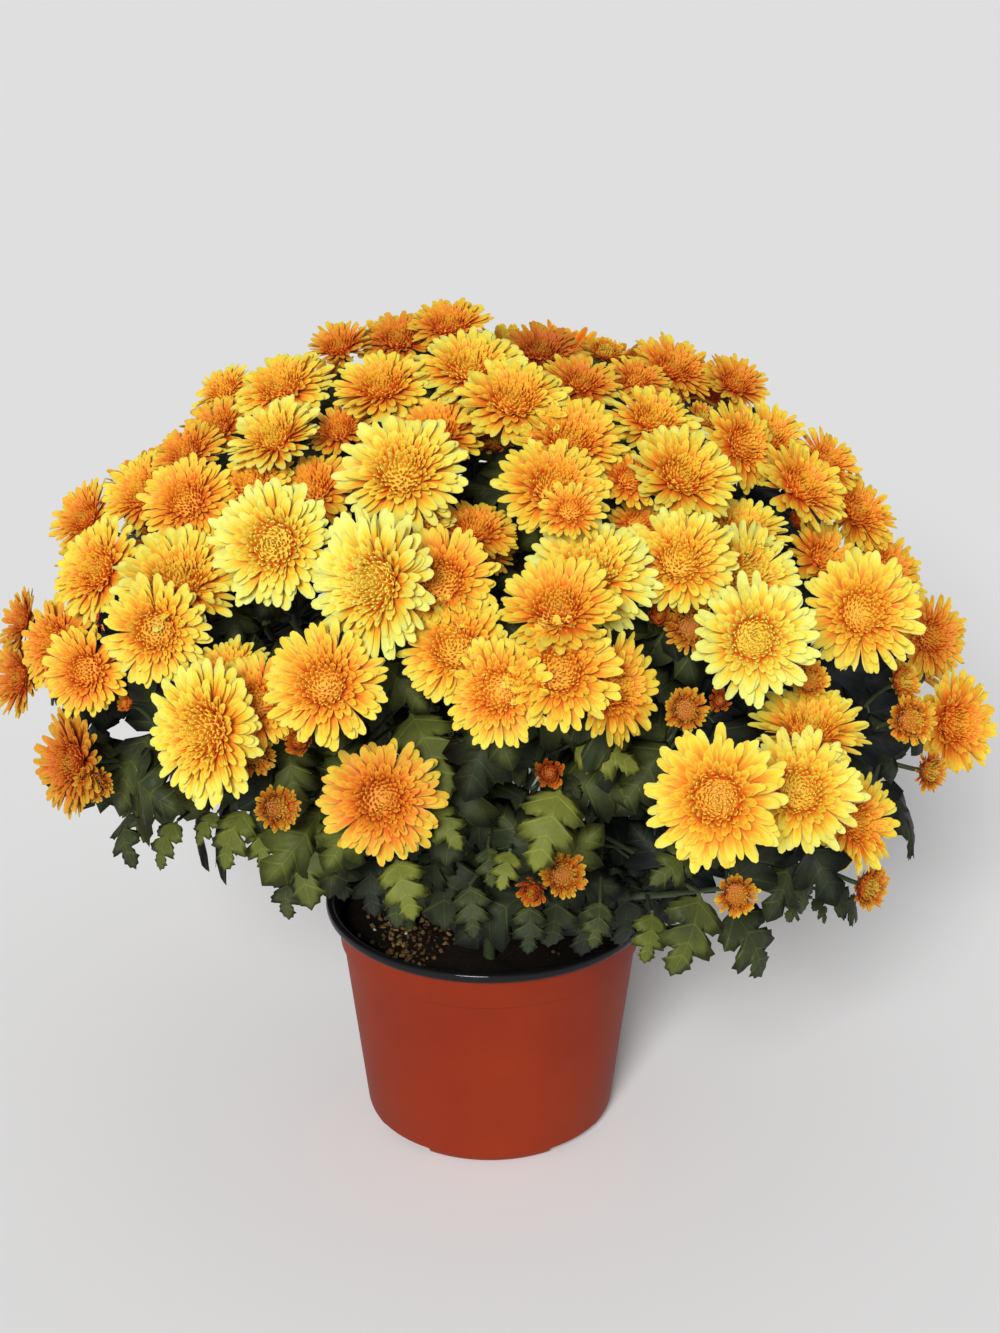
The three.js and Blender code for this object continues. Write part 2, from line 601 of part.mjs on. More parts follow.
// A leaf meets nothing but the lateral that it grows from. One that has no room is tried again closer in,
// and left out where it finds none.
function growLeaves(plants, obstacles) {
  const crossing = (body, solids) => solids.filter((other) => !other.intersect(body).isEmpty()).length;
  for (const place of leafPlaces()) {
    for (let attempt = 0; attempt < LEAF.tries; attempt++) {
      const { root, tip } = place(attempt * LEAF.step);
      const middle = root.clone().lerp(tip, 0.5);
      const facing = along(middle.clone().sub(CENTRE).normalize(), UP, LEAF.lift);
      const number = sectorOf(middle);
      const others = plants.filter((_, k) => k !== number).flatMap((plant) => plant.solids);
      const own = plants[number];
      const joint = spotsFor(root, tip, own.lines).find((spot) => {
        const room = leafSolid(spot, root, tip, facing, GAP);
        return crossing(room, own.solids) === 1 && crossing(room, [...obstacles, ...others]) === 0;
      });
      if (!joint) continue;
      own.solids.push(leafSolid(joint, root, tip, facing));
      break;
    }
  }
}

// ---------------------------------------------------------------- pot and soil

const WALL_FOOT = POT.footRadius + POT.flare;
const POT_TAPER = (POT.collarRadius - WALL_FOOT) / POT.height;
const SHOULDER = POT.height - POT.collarHeight;
const wallRadius = (height) => WALL_FOOT + POT_TAPER * height - (height < SHOULDER ? POT.shoulder : 0);
const innerRadius = (height) => wallRadius(height) - POT.wall;

function potSolid() {
  const lip = POT.height - POT.lipDrop;
  const shoulderFoot = SHOULDER - POT.shoulderSlope;
  const ringInside = POT.footRadius - POT.edgeRing;
  const profile = [
    [0, 0],
    [POT.footRadius - POT.cornerRadius, 0],
    [wallRadius(POT.cornerRadius), POT.cornerRadius],
    [wallRadius(shoulderFoot), shoulderFoot],
    [wallRadius(SHOULDER), SHOULDER],
    [wallRadius(lip), lip],
    ...LIP.map(([inset, drop]) => [POT.lipRadius - inset, POT.height - drop]),
    [innerRadius(lip), lip],
    [innerRadius(SHOULDER), SHOULDER],
    [innerRadius(shoulderFoot), shoulderFoot],
    [innerRadius(POT.edgeFloor), POT.edgeFloor],
    [ringInside, POT.edgeFloor],
    [ringInside - POT.edgeSlope, POT.wall],
    [0, POT.wall],
  ];
  let pot = solidOfGeometry(lathe(profile, POT.sides));
  for (let k = 0; k < NOTCH.count; k++) {
    const middle = radians(NOTCH.start + (360 * k) / NOTCH.count);
    pot = pot.subtract(notchSolid(middle)).subtract(drainSolid(middle));
  }
  return pot;
}

// A sector of a ring round the pot's axis, low enough to leave the floor above it.
function notchSolid(middle) {
  const half = radians(NOTCH.width / 2);
  const near = POT.footRadius - NOTCH.reach;
  const far = POT.footRadius + NOTCH.reach;
  const sector = new THREE.Shape();
  sector.moveTo(near * Math.cos(middle - half), near * Math.sin(middle - half));
  for (const turn of [-half, -half / 3, half / 3, half]) {
    sector.lineTo(far * Math.cos(middle + turn), far * Math.sin(middle + turn));
  }
  for (const turn of [half, half / 3, -half / 3]) {
    sector.lineTo(near * Math.cos(middle + turn), near * Math.sin(middle + turn));
  }
  const block = new THREE.ExtrudeGeometry(sector, { depth: 2 * NOTCH.height, bevelEnabled: false });
  return solidOfGeometry(block.translate(0, 0, -NOTCH.height));
}

function drainSolid(middle) {
  const distance = POT.footRadius - DRAIN.inset;
  const drain = new THREE.CylinderGeometry(DRAIN.radius, DRAIN.radius, 4 * POT.edgeFloor, DRAIN.sides);
  return solidOfGeometry(
    drain.rotateX(Math.PI / 2).translate(distance * Math.cos(middle), distance * Math.sin(middle), 0),
  );
}

// The soil fills the pot up to below its rim, with a low crown, and leaves a hole for each stem.
function soilSolid(stems) {
  const top = POT.height - SOIL.depthBelowRim;
  const shoulderFoot = SHOULDER - POT.shoulderSlope;
  const round = Math.cos(Math.PI / POT.sides); // the pot's flat sides stand closer than its corners
  const edge = innerRadius(shoulderFoot) * round - GAP;
  const ringInside = POT.footRadius - POT.edgeRing - POT.edgeSlope - GAP;
  const vertices = [vec(0, 0, top + SOIL.crown)];
  const addRing = (radius, height, relief) => {
    for (let k = 0; k < SOIL.sides; k++) {
      const angle = (2 * Math.PI * k) / SOIL.sides;
      const bump = relief * (2 * draw(k, radius) - 1);
      vertices.push(vec(radius * Math.cos(angle), radius * Math.sin(angle), height + bump));
    }
  };
  for (const share of SOIL.rings) addRing(share * edge, top + SOIL.crown * (1 - share), SOIL.relief);
  addRing(edge, top, 0);
  addRing(innerRadius(POT.edgeFloor) * round - GAP, POT.edgeFloor + GAP, 0);
  addRing(ringInside, POT.edgeFloor + GAP, 0);
  addRing(ringInside - POT.edgeSlope, POT.wall + GAP, 0);
  const n = SOIL.sides;
  const rows = (vertices.length - 1) / n;
  vertices.push(vec(0, 0, POT.wall + GAP));
  const triangles = [];
  for (let k = 0; k < n; k++) {
    const next = (k + 1) % n;
    triangles.push([0, 1 + k, 1 + next]);
    for (let row = 0; row < rows - 1; row++) {
      const a = 1 + row * n + k;
      const b = 1 + row * n + next;
      triangles.push([a, a + n, b + n], [a, b + n, b]);
    }
    triangles.push([vertices.length - 1, 1 + (rows - 1) * n + next, 1 + (rows - 1) * n + k]);
  }
  return solid(vertices, triangles).subtract(joined(stems));
}

// ---------------------------------------------------------------- the scene

const material = (color, roughness) => new THREE.MeshStandardMaterial({ color, roughness, metalness: 0 });
const FINISH = {
  pot: material(0xa03c22, 0.45),
  soil: material(0x2b1d14, 0.95),
  green: material(0x2e4a1c, 0.6),
  bloom: material(0xf2a81d, 0.6),
};

const chrysanthemum = new THREE.Group();
function addPiece(name, manifold, finish) {
  const mesh = new THREE.Mesh(geometryOfSolid(manifold), finish);
  mesh.name = name;
  chrysanthemum.add(mesh);
}

const frontHeads = [
  ...BLOOMS.map((row) => frontHead(row, BLOOM)),
  ...HALF_OPEN_HEADS.map((row) => frontHead(row, HALF_OPEN)),
];
const heads = [...frontHeads, ...farHeads(frontHeads)].map(finishHead);
for (const head of heads) head.solid = headSolid(head, heads);
const sprays = gatherSprays(heads);

const plants = growStalks(sprays, heads);
const pot = potSolid();
growLeaves(plants, [pot, ...heads.map((head) => head.solid)]);

addPiece("pot", pot, FINISH.pot);
const stemHoles = plants.map((plant) => mainStem(plant.cutting, CUTTING.holeClearance));
addPiece("soil", soilSolid(stemHoles), FINISH.soil);
plants.forEach((plant, number) => addPiece(`leafy_stems_${number + 1}`, fused(plant.solids), FINISH.green));
sprays.forEach((spray, number) => {
  const name = `blooms_${String(number + 1).padStart(2, "0")}`;
  addPiece(name, fused(spray.map((head) => head.solid)), FINISH.bloom);
});

export default chrysanthemum;
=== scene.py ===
# %% [markdown]
# # A pot chrysanthemum
# A garden mum is a dome of double blooms on leafy stems, sold in a thin plastic pot. The model that comes
# with this lesson already has every head, leaf and stem in its place as a coarse solid. Here each solid is
# replaced by what it stands for: petals in their layers, cut leaves with veins, round stems, loose
# compost and a smooth pot. Nothing is moved, so the finer plant fits the coarse one everywhere.

# %% Load the frame
import itertools
import math
import bmesh
import bpy
import numpy as np
from mathutils import Matrix, Vector
from mathutils import noise as lumps
from mathutils.bvhtree import BVHTree
from mathutils.kdtree import KDTree


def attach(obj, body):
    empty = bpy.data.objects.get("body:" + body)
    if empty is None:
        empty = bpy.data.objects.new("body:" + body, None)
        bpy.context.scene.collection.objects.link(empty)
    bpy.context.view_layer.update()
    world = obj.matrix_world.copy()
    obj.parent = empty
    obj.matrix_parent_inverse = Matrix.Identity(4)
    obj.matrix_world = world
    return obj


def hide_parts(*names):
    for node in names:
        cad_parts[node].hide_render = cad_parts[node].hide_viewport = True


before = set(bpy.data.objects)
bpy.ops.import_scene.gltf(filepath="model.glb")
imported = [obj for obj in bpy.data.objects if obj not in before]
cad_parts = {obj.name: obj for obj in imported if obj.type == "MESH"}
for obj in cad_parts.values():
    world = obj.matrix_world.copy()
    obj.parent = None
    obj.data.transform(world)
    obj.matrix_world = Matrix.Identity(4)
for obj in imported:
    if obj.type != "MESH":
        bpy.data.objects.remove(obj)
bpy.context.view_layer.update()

MM = 0.001
scene = bpy.context.scene
print("nodes in the frame:", len(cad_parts))

# %% [markdown]
# ## The viewpoint
# The plant is seen from in front and a little above, with a long lens, so that the dome, the skirt of
# leaves and the pot all show. The camera comes first, because the heads of the front are listed by where
# they show from here, as a gardener would describe them: this far across, this far down.

# %% Camera
VIEWPOINT = np.array((4.7, -970.0, 639.0))
PITCH = math.radians(23.24)
FOCAL = 2400.0
FRAME_WIDTH, FRAME_HEIGHT = 1000, 1333
FRAME_MIDDLE = (FRAME_WIDTH / 2, FRAME_HEIGHT / 2)
SENSOR = 36.0

camera_data = bpy.data.cameras.new("camera")
camera_data.sensor_width = SENSOR
camera_data.lens = FOCAL / FRAME_HEIGHT * SENSOR
camera = bpy.data.objects.new("camera", camera_data)
camera.location = VIEWPOINT * MM
camera.rotation_euler = (math.pi / 2 - PITCH, 0, 0)
scene.collection.objects.link(camera)
scene.camera = camera
print("lens", round(camera_data.lens, 1), "mm")

# %% [markdown]
# ## Where the heads are
# The blooms lie on a dome. A sight line through a place in the view meets the dome at the bloom's heart.
# Each row says where the bloom shows, how broad it is, how far it stands proud of the dome, and its tone and
# light, from -1 for a pale lemon bloom in full light to 1 for a young bronze one. This number is partly the
# bloom's own colour and partly painted light: the most lit heads are painted pale lemon as a painted
# highlight, and heads in shade near the dome's outline are painted darker bronze as painted shade. A bloom
# that turns its own way also says how far it faces right and up.

# %% Blooms in front
BLOOMS = [
    (398, 331, 82, -2, 0.9), (338, 341, 64, -7, 0.8), (449, 317, 80, -8, 0.7), (470, 357, 106, 4, -0.3),
    (278, 378, 94, 0, 0), (221, 384, 62, -8, 0.1), (380, 378, 94, 2, 0.1), (270, 430, 90, 4, -0.6),
    (212, 423, 76, -5, 0.7), (181, 447, 76, -2, 0.7), (337, 424, 68, -9, 0.7),
    (401, 464, 120, 10, -0.6, -0.1, 0.5), (434, 424, 96, -8, 0.4), (247, 477, 84, -4, 0.1),
    (307, 484, 94, -12, 0.5), (137, 487, 90, -3, 0.3, -0.8, 0.7), (182, 497, 90, 3, 0.5, -0.4, 0.4),
    (270, 543, 120, 8, -0.9, -0.3, 0.1), (364, 583, 138, 10, -1, -0.75, 0.05),
    (441, 577, 106, 4, 0.3, -0.1, 0.3), (417, 520, 72, -7, -0.3), (478, 521, 82, -14, 0.6, 0.2, 1.1),
    (90, 566, 100, 1, 0, -0.9, 0.4), (80, 514, 74, -8, 0.7), (177, 571, 120, 2, -0.4, -0.2, 0.8),
    (154, 631, 100, 6, -0.1, -0.2, 0), (47, 641, 88, -1, 0.7, -0.8, 0.2), (82, 671, 84, 4, 0.5, -0.4, 0),
    (12, 677, 78, -3, 1, -1.3, 0), (17, 619, 62, -8, 1, -1.4, 0.5), (63, 764, 96, 0, 1.1, -1.05, -0.1),
    (193, 734, 132, 8, -0.4, -0.8, -0.1), (257, 698, 90, -3, 0.3, -0.1, 0.3),
    (322, 681, 116, 6, 0.2, -0.2, 0.2), (229, 664, 78, -12, -0.2, -0.2, 1),
    (383, 801, 112, -22, 0.75, 0.05, -0.05), (453, 643, 108, 2, 0, -0.2, 0.3),
    (495, 691, 104, 6, 0.3, -0.25, 0), (560, 667, 114, 10, 0.15, 0, 0.3),
    (624, 687, 108, 1, 0.3, 1.05, 0.1), (590, 566, 124, 0, -0.9, 0, 0.5),
    (557, 600, 114, 9, 0.3, -0.1, 0.7), (682, 554, 106, 3, -0.4, 0.1, 0.45),
    (757, 639, 116, 10, -1, 0.15, 0), (757, 571, 106, -5, -0.9, 0.6, 0.4),
    (866, 611, 113, 8, -0.1, 0.2, 0.1), (833, 555, 86, -7, 0.3), (895, 567, 82, -7, 0.7),
    (938, 636, 80, -3, 0.8, 0.7, 0.1), (963, 724, 96, 0, 0.6, 0.85, 0),
    (812, 719, 108, -5, -0.1, 0.2, 1.1), (715, 801, 132, 10, 0.1, -0.1, -0.1),
    (803, 788, 116, 4, -0.6, 0.2, 0.2), (866, 823, 92, -5, 0.3, 0.9, 0), (543, 344, 82, -5, 1.25),
    (514, 391, 106, 6, 0), (583, 376, 76, -5, 0.8), (677, 361, 82, -1, 0.7), (640, 373, 64, -5, 0.7),
    (739, 378, 68, -3, 0.8), (658, 413, 92, 0, -0.1), (573, 433, 106, 2, 0.3), (688, 468, 108, 6, -0.2),
    (632, 474, 68, -3, 0.5), (555, 479, 106, 0, 0.2), (570, 506, 62, 7, 0.3, 0, 0.6),
    (775, 431, 80, -3, 0.3), (751, 441, 86, 1, 0.3, 0.9, 0.4), (808, 481, 94, 4, 0.3),
    (832, 456, 70, -6, 0.6), (864, 506, 84, -5, 0.6), (743, 520, 92, -8, -0.3, 0.3, 1.3),
    (640, 520, 58, -16, 0.5), (490, 549, 52, -24, 0.8, 0.4, 1),
]
HALF_OPEN_HEADS = [
    (92, 787, 42, -6, 1.1, -0.2, -0.5), (257, 757, 46, -9, 1, 0.3, -0.2), (298, 741, 34, -10, 0.9),
    (280, 808, 48, -12, 1.1, 0.3, 0), (693, 627, 56, -14, 1, 0.1, 0), (911, 680, 46, -2, 0.8),
    (917, 720, 54, 0, 0.8, 0.5, 0), (937, 772, 42, 0, 1.1, 0.9, -0.1), (812, 678, 44, -6, 0.6, 0.3, 0.2),
    (687, 710, 48, -18, 0.9, 0.1, 0), (720, 700, 26, -20, 0.9, 0, 0.1),
    (877, 890, 50, -6, 1.1, 0.9, -0.3), (738, 897, 48, -16, 0.9, 0.1, -0.2),
    (566, 875, 50, -44, 1.1, 0.2, 0), (531, 893, 34, -46, 1.1, -0.3, -0.4), (549, 773, 34, -34, 1, 0, 0),
    (608, 345, 42, -10, 0.8), (495, 433, 46, -20, 0.9), (802, 516, 34, -12, 0.8),
    (706, 412, 42, -12, 0.8), (124, 703, 22, -14, 0.4), (660, 615, 30, -16, 0.9),
]
print("blooms in front:", len(BLOOMS), "and half-open heads:", len(HALF_OPEN_HEADS))

# %% [markdown]
# A head's size and direction follow from its row. Behind, where no one has counted them, the heads carry
# on with the same spacing: a golden-angle spiral on the dome, thinned to a least distance. Every draw is
# seeded, so the same plant grows each time.

# %% Heads
DOME_CENTRE = np.array((-3.0, 0.0, 158.0))
DOME_RADIUS = 213.0
UP = np.array((0.0, 0.0, 1.0))
SIGHT_RIGHT = np.array((1.0, 0.0, 0.0))
SIGHT_UP = np.array((0.0, math.sin(PITCH), math.cos(PITCH)))
SIGHT_AHEAD = np.array((0.0, math.cos(PITCH), -math.sin(PITCH)))
# heads turn a little to the front, and more so at the dome's outline, while those of the far side look up
TURN_TO_FRONT, TURN_AT_OUTLINE, OUTLINE_SHARE = 0.25, 0.5, 0.5
TURN_UP, SWAY = 0.12, 0.5
# how far the heart, and the middle of all the petals, are above the calyx, in the head's radii
HEART_HEIGHT = {"open": 0.76, "half_open": 1.0}
CORE_HEIGHT = {"open": 0.4, "half_open": 0.6}
SPIRAL_TURN = 137.508
FAR_SIDE = {
    "candidates": 600, "lowest": 0.1, "facing": -0.23, "apart": 40,
    "radius": (18, 24), "lift": (-7, 4), "tone": (-0.4, 0.8),
}
WAVE = (12.9898, 78.233, 43758.5453)  # any large uneven numbers make the draws look random
# each kind of draw has a salt, and a kind that is drawn several times counts on from it
SALTS = {
    "lift": 1, "radius": 2, "sway": 3, "spin": 6, "tone": 7, "cupping": 8,
    "longitude": 10, "latitude": 20, "swing": 30,
    "ripple": 41, "curling": 42, "shade": 43, "small_leaf": 51, "chip": 61,
}


def unit(vector):
    return vector / np.linalg.norm(vector)


def draw(index, kind, step=0):
    """A repeatable draw from 0 to 1 for item number index."""
    wave = math.sin(index * WAVE[0] + (SALTS[kind] + step) * WAVE[1]) * WAVE[2]
    return wave - math.floor(wave)


def between(start, end, share):
    return start + (end - start) * share


def on_shell(across, down, radius):
    """Where a sight line first meets a sphere round the dome's centre, or passes it closest."""
    line = unit(
        SIGHT_AHEAD
        + SIGHT_RIGHT * (across - FRAME_MIDDLE[0]) / FOCAL
        + SIGHT_UP * (FRAME_MIDDLE[1] - down) / FOCAL
    )
    to_centre = DOME_CENTRE - VIEWPOINT
    nearest = to_centre @ line
    miss = to_centre @ to_centre - nearest**2
    return VIEWPOINT + line * (nearest - math.sqrt(max(radius**2 - miss, 0)))


def front_head(row, shape):
    across, down, breadth, lift, tone = row[:5]
    heart = on_shell(across, down, DOME_RADIUS + lift)
    to_eye = unit(VIEWPOINT - heart)
    if len(row) > 5:
        facing = to_eye + SIGHT_RIGHT * row[5] + SIGHT_UP * row[6]
    else:
        outward = unit(heart - DOME_CENTRE)
        edge_on = max(0, 1 - outward @ to_eye / OUTLINE_SHARE)
        facing = outward + to_eye * (TURN_TO_FRONT + TURN_AT_OUTLINE * edge_on)
    radius = breadth * np.linalg.norm(heart - VIEWPOINT) / FOCAL / 2
    head = {"heart": heart, "facing": unit(facing), "radius": radius}
    return head | {"lift": lift, "tone": tone, "shape": shape}


def far_heads(front):
    heads = []
    taken = [head["heart"] for head in front]
    for i in range(FAR_SIDE["candidates"]):
        height = 1 - (1 - FAR_SIDE["lowest"]) * (i + 0.5) / FAR_SIDE["candidates"]
        angle = math.radians(SPIRAL_TURN * i)
        ring = math.sqrt(1 - height**2)
        outward = np.array((ring * math.cos(angle), ring * math.sin(angle), height))
        lift = between(*FAR_SIDE["lift"], draw(i, "lift"))
        heart = DOME_CENTRE + outward * (DOME_RADIUS + lift)
        if outward @ unit(VIEWPOINT - heart) > FAR_SIDE["facing"]:
            continue
        if min(np.linalg.norm(heart - other) for other in taken) < FAR_SIDE["apart"]:
            continue
        taken.append(heart)
        sway = (np.array([draw(i, "sway", axis) for axis in range(3)]) - 0.5) * SWAY
        heads.append({
            "heart": heart,
            "facing": unit(outward + UP * TURN_UP + sway),
            "radius": between(*FAR_SIDE["radius"], draw(i, "radius")),
            "lift": lift,
            "tone": between(*FAR_SIDE["tone"], draw(i, "tone")),
            "shape": "open",
        })
    return heads


heads = [front_head(row, "open") for row in BLOOMS]
heads += [front_head(row, "half_open") for row in HALF_OPEN_HEADS]
heads += far_heads(heads)
for index, head in enumerate(heads):
    head["index"] = index
    head["calyx"] = head["heart"] - head["facing"] * HEART_HEIGHT[head["shape"]] * head["radius"]
    head["core"] = head["calyx"] + head["facing"] * CORE_HEIGHT[head["shape"]] * head["radius"]
print("heads in all:", len(heads))

# %% [markdown]
# A node of the frame holds the heads of one spray. A head belongs to the node that has a corner at its
# calyx, where its stalk ends. That corner is also the exact end of the stalk.

# %% Heads of each spray
bloom_nodes = sorted(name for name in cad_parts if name.startswith("blooms"))
corners = [(name, v.co.copy()) for name in bloom_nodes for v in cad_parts[name].data.vertices]
corner_tree = KDTree(len(corners))
for number, (_, place) in enumerate(corners):
    corner_tree.insert(place, number)
corner_tree.balance()

sprays = {name: [] for name in bloom_nodes}
for head in heads:
    place, number, distance = corner_tree.find(Vector(head["calyx"] * MM))
    head["stalk_end"] = np.array(place) / MM
    head["miss"] = distance / MM
    sprays[corners[number][0]].append(head)
print("heads per spray:", sorted(len(spray) for spray in sprays.values()))
print("furthest calyx from its corner:", round(max(head["miss"] for head in heads), 2), "mm")

# %% [markdown]
# ## Node trees that read as formulas
# Petals and leaves are bent by formulas. A Math node holds only one step of a sum, so a small class makes
# the nodes while Python reads the formula. It works in geometry trees and in materials alike.

# %% Fields


class Field:
    """A number on its way through a node tree. A sum of Fields adds the Math nodes that it needs."""

    def __init__(self, tree, socket):
        self.tree = tree
        self.socket = socket

    def math(self, operation, *others):
        node = self.tree.nodes.new("ShaderNodeMath")
        node.operation = operation
        for slot, value in zip(node.inputs, (self, *others)):
            feed(self.tree, slot, value)
        return Field(self.tree, node.outputs[0])


OPERATIONS = {
    "__add__": "ADD", "__sub__": "SUBTRACT", "__mul__": "MULTIPLY", "__truediv__": "DIVIDE",
    "sin": "SINE", "cos": "COSINE", "power": "POWER", "absolute": "ABSOLUTE",
    "at_least": "MAXIMUM", "at_most": "MINIMUM", "is_over": "GREATER_THAN", "is_under": "LESS_THAN",
}
for method, operation in OPERATIONS.items():
    setattr(Field, method, lambda self, *others, operation=operation: self.math(operation, *others))


def feed(tree, slot, value):
    """Links a Field or a socket, or sets a plain value."""
    if isinstance(value, Field):
        value = value.socket
    if isinstance(value, bpy.types.NodeSocket):
        tree.links.new(value, slot)
    else:
        slot.default_value = value


def add_node(tree, kind, values=(), **settings):
    """A new node with its settings and its input values, given by the sockets' names."""
    node = tree.nodes.new(kind)
    for name, setting in settings.items():
        setattr(node, name, setting)
    for name, value in dict(values).items():
        feed(tree, next(slot for slot in node.inputs if slot.name == name and slot.enabled), value)
    return node


def new_tree(name, inputs):
    """A geometry tree with named inputs, as (name, kind, value). Returns the tree and its input node."""
    tree = bpy.data.node_groups.new(name, "GeometryNodeTree")
    tree.interface.new_socket("Geometry", in_out="INPUT", socket_type="NodeSocketGeometry")
    tree.interface.new_socket("Geometry", in_out="OUTPUT", socket_type="NodeSocketGeometry")
    for label, kind, value in inputs:
        socket = tree.interface.new_socket(label, in_out="INPUT", socket_type=kind)
        if value is not None:
            socket.default_value = value
    return tree, tree.nodes.new("NodeGroupInput")


def finish_tree(tree, geometry, finish=None):
    """Ends the tree, with one plain mesh in its finish."""
    if finish:
        geometry = add_node(tree, "GeometryNodeRealizeInstances", {"Geometry": geometry}).outputs[0]
        finished = add_node(tree, "GeometryNodeSetMaterial", {"Geometry": geometry, "Material": finish})
        geometry = finished.outputs[0]
    output = tree.nodes.new("NodeGroupOutput")
    tree.links.new(geometry, output.inputs[0])


def copies_of(tree, points, blank, **settings):
    """A copy of an object's mesh on each point, as instances."""
    shape = add_node(tree, "GeometryNodeObjectInfo", {"Object": blank}).outputs["Geometry"]
    values = {"Points": points, "Instance": shape, **settings}
    return add_node(tree, "GeometryNodeInstanceOnPoints", values).outputs[0]


def random_value(tree, low, high, **values):
    """A Field of random numbers from low to high, or of vectors where these are vectors."""
    kind = "FLOAT_VECTOR" if isinstance(high, tuple) else "FLOAT"
    values |= {"Min": low, "Max": high}
    node = add_node(tree, "FunctionNodeRandomValue", values, data_type=kind)
    return Field(tree, next(socket for socket in node.outputs if socket.enabled))


def store(tree, geometry, name, value):
    """The geometry with a named number on each of its points."""
    values = {"Geometry": geometry, "Name": name, "Value": value}
    return add_node(tree, "GeometryNodeStoreNamedAttribute", values, data_type="FLOAT").outputs[0]


def stored(tree, name):
    """A Field that reads a named number."""
    node = add_node(tree, "GeometryNodeInputNamedAttribute", {"Name": name}, data_type="FLOAT")
    return Field(tree, node.outputs[0])


def bendable(tree, copies):
    """A plain mesh of the copies that keeps each point's place on its blank, and the Fields of that place."""
    geometry = add_node(tree, "GeometryNodeRealizeInstances", {"Geometry": copies}).outputs[0]
    position = tree.nodes.new("GeometryNodeInputPosition")
    parts = add_node(tree, "ShaderNodeSeparateXYZ", {"Vector": position.outputs[0]})
    across, along, lift = (Field(tree, socket) for socket in parts.outputs)
    geometry = store(tree, geometry, "along", along)
    geometry = store(tree, geometry, "across", across)
    return geometry, across, along, lift


def bent(tree, geometry, place, scratch):
    """The geometry with its points in their new place, without the numbers that only the bending needed."""
    node = add_node(tree, "GeometryNodeSetPosition", {"Geometry": geometry, "Position": place})
    for name in scratch:
        node = add_node(tree, "GeometryNodeRemoveAttribute", {"Geometry": node.outputs[0], "Name": name})
    return node.outputs[0]


def set_inputs(modifier, values):
    """Sets a modifier's inputs by their names, through the sockets' identifiers."""
    for item in modifier.node_group.interface.items_tree:
        if item.item_type == "SOCKET" and item.in_out == "INPUT" and item.name in values:
            modifier[item.identifier] = values[item.name]


def grown(host):
    """The plain mesh that an object's modifiers make."""
    host.update_tag()
    graph = bpy.context.evaluated_depsgraph_get()
    graph.update()
    return bpy.data.meshes.new_from_object(
        host.evaluated_get(graph), preserve_all_data_layers=True, depsgraph=graph
    )


def new_object(name, mesh, hide=False):
    thing = bpy.data.objects.new(name, mesh)
    thing.hide_render = hide
    scene.collection.objects.link(thing)
    return thing


def grow_with(tree, mesh, inputs=()):
    """The plain mesh that a node tree makes from a mesh."""
    host = new_object("host", mesh)
    modifier = host.modifiers.new(tree.name, "NODES")
    modifier.node_group = tree
    set_inputs(modifier, dict(inputs))
    result = grown(host)
    bpy.data.objects.remove(host)
    return result


def mesh_from(name, points, edges=(), faces=()):
    mesh = bpy.data.meshes.new(name)
    mesh.from_pydata(points, edges, faces)
    return mesh


def mesh_of(name, work, smooth=True):
    """The mesh of a finished bmesh, which is then let go."""
    mesh = bpy.data.meshes.new(name)
    work.to_mesh(mesh)
    work.free()
    if smooth:
        mesh.shade_smooth()
    return mesh


def number_mesh(mesh, name, domain, values):
    """Leaves a named number on each point or face of a mesh."""
    mesh.attributes.new(name, "FLOAT", domain).data.foreach_set("value", values)


# %% [markdown]
# ## One petal
# A petal is a thin blade, channelled along its middle and rounded at its tip. It could be a flat sheet
# with two sides, but a closed blade also prints, and its back can have a colour of its own. The blank is
# one unit long and one half-width each way. It is a small tube whose section has only the corners that
# show, since a plant has thousands of petals.

# %% Petal blanks
# sections run from the left edge over the face to the right edge and back underneath, as (across, up)
RAY_SECTION = [(-1, 0.2), (-0.45, 0.06), (0.45, 0.06), (1, 0.2), (0, -0.12)]
INNER_SECTION = [(-1, 0.34), (0, 0.04), (1, 0.34), (0, -0.16)]
FLORET_SECTION = [(-1, 0.3), (1, 0.3), (0, -0.6)]
# outlines give the half-width at each share of the length
RAY_OUTLINE = [(0, 0.34), (0.42, 0.8), (0.8, 1), (0.94, 0.76), (1, 0.3)]
INNER_OUTLINE = [(0, 0.42), (0.45, 0.8), (0.75, 1), (0.93, 0.7), (1, 0.16)]
FLORET_OUTLINE = [(0, 0.6), (0.8, 1), (1, 0.75)]
BRACT_OUTLINE = [(0, 0.6), (0.35, 1), (0.75, 0.6), (1, 0.08)]
MARGIN_ANGLE = math.radians(60)  # the margins are edges, and all that bends less is smooth


def petal_blank(name, section, outline, face_corners):
    """A closed blade. The first face_corners corners of the section are its face, the others its back."""
    corners = len(section)
    points = [(x * width, along, z * width) for along, width in outline for x, z in section]
    faces = []
    backs = []
    for row in range(len(outline) - 1):
        for k in range(corners):
            a, b = row * corners + k, row * corners + (k + 1) % corners
            faces.append((a, b, b + corners, a + corners))
            backs.append(0.0 if k < face_corners - 1 else 1.0)
    last = (len(outline) - 1) * corners
    faces.append(tuple(range(corners))[::-1])
    faces.append(tuple(range(last, last + corners)))
    backs += [1.0, 0.0]
    mesh = mesh_from(name, points, faces=faces)
    mesh.shade_smooth()
    number_mesh(mesh, "back", "FACE", backs)
    turn_outwards(mesh)
    mesh.set_sharp_from_angle(angle=MARGIN_ANGLE)
    return new_object(name, mesh, hide=True)


def turn_outwards(mesh):
    """Makes the faces of a closed mesh point outwards."""
    work = bmesh.new()
    work.from_mesh(mesh)
    bmesh.ops.recalc_face_normals(work, faces=work.faces)
    work.to_mesh(mesh)
    work.free()


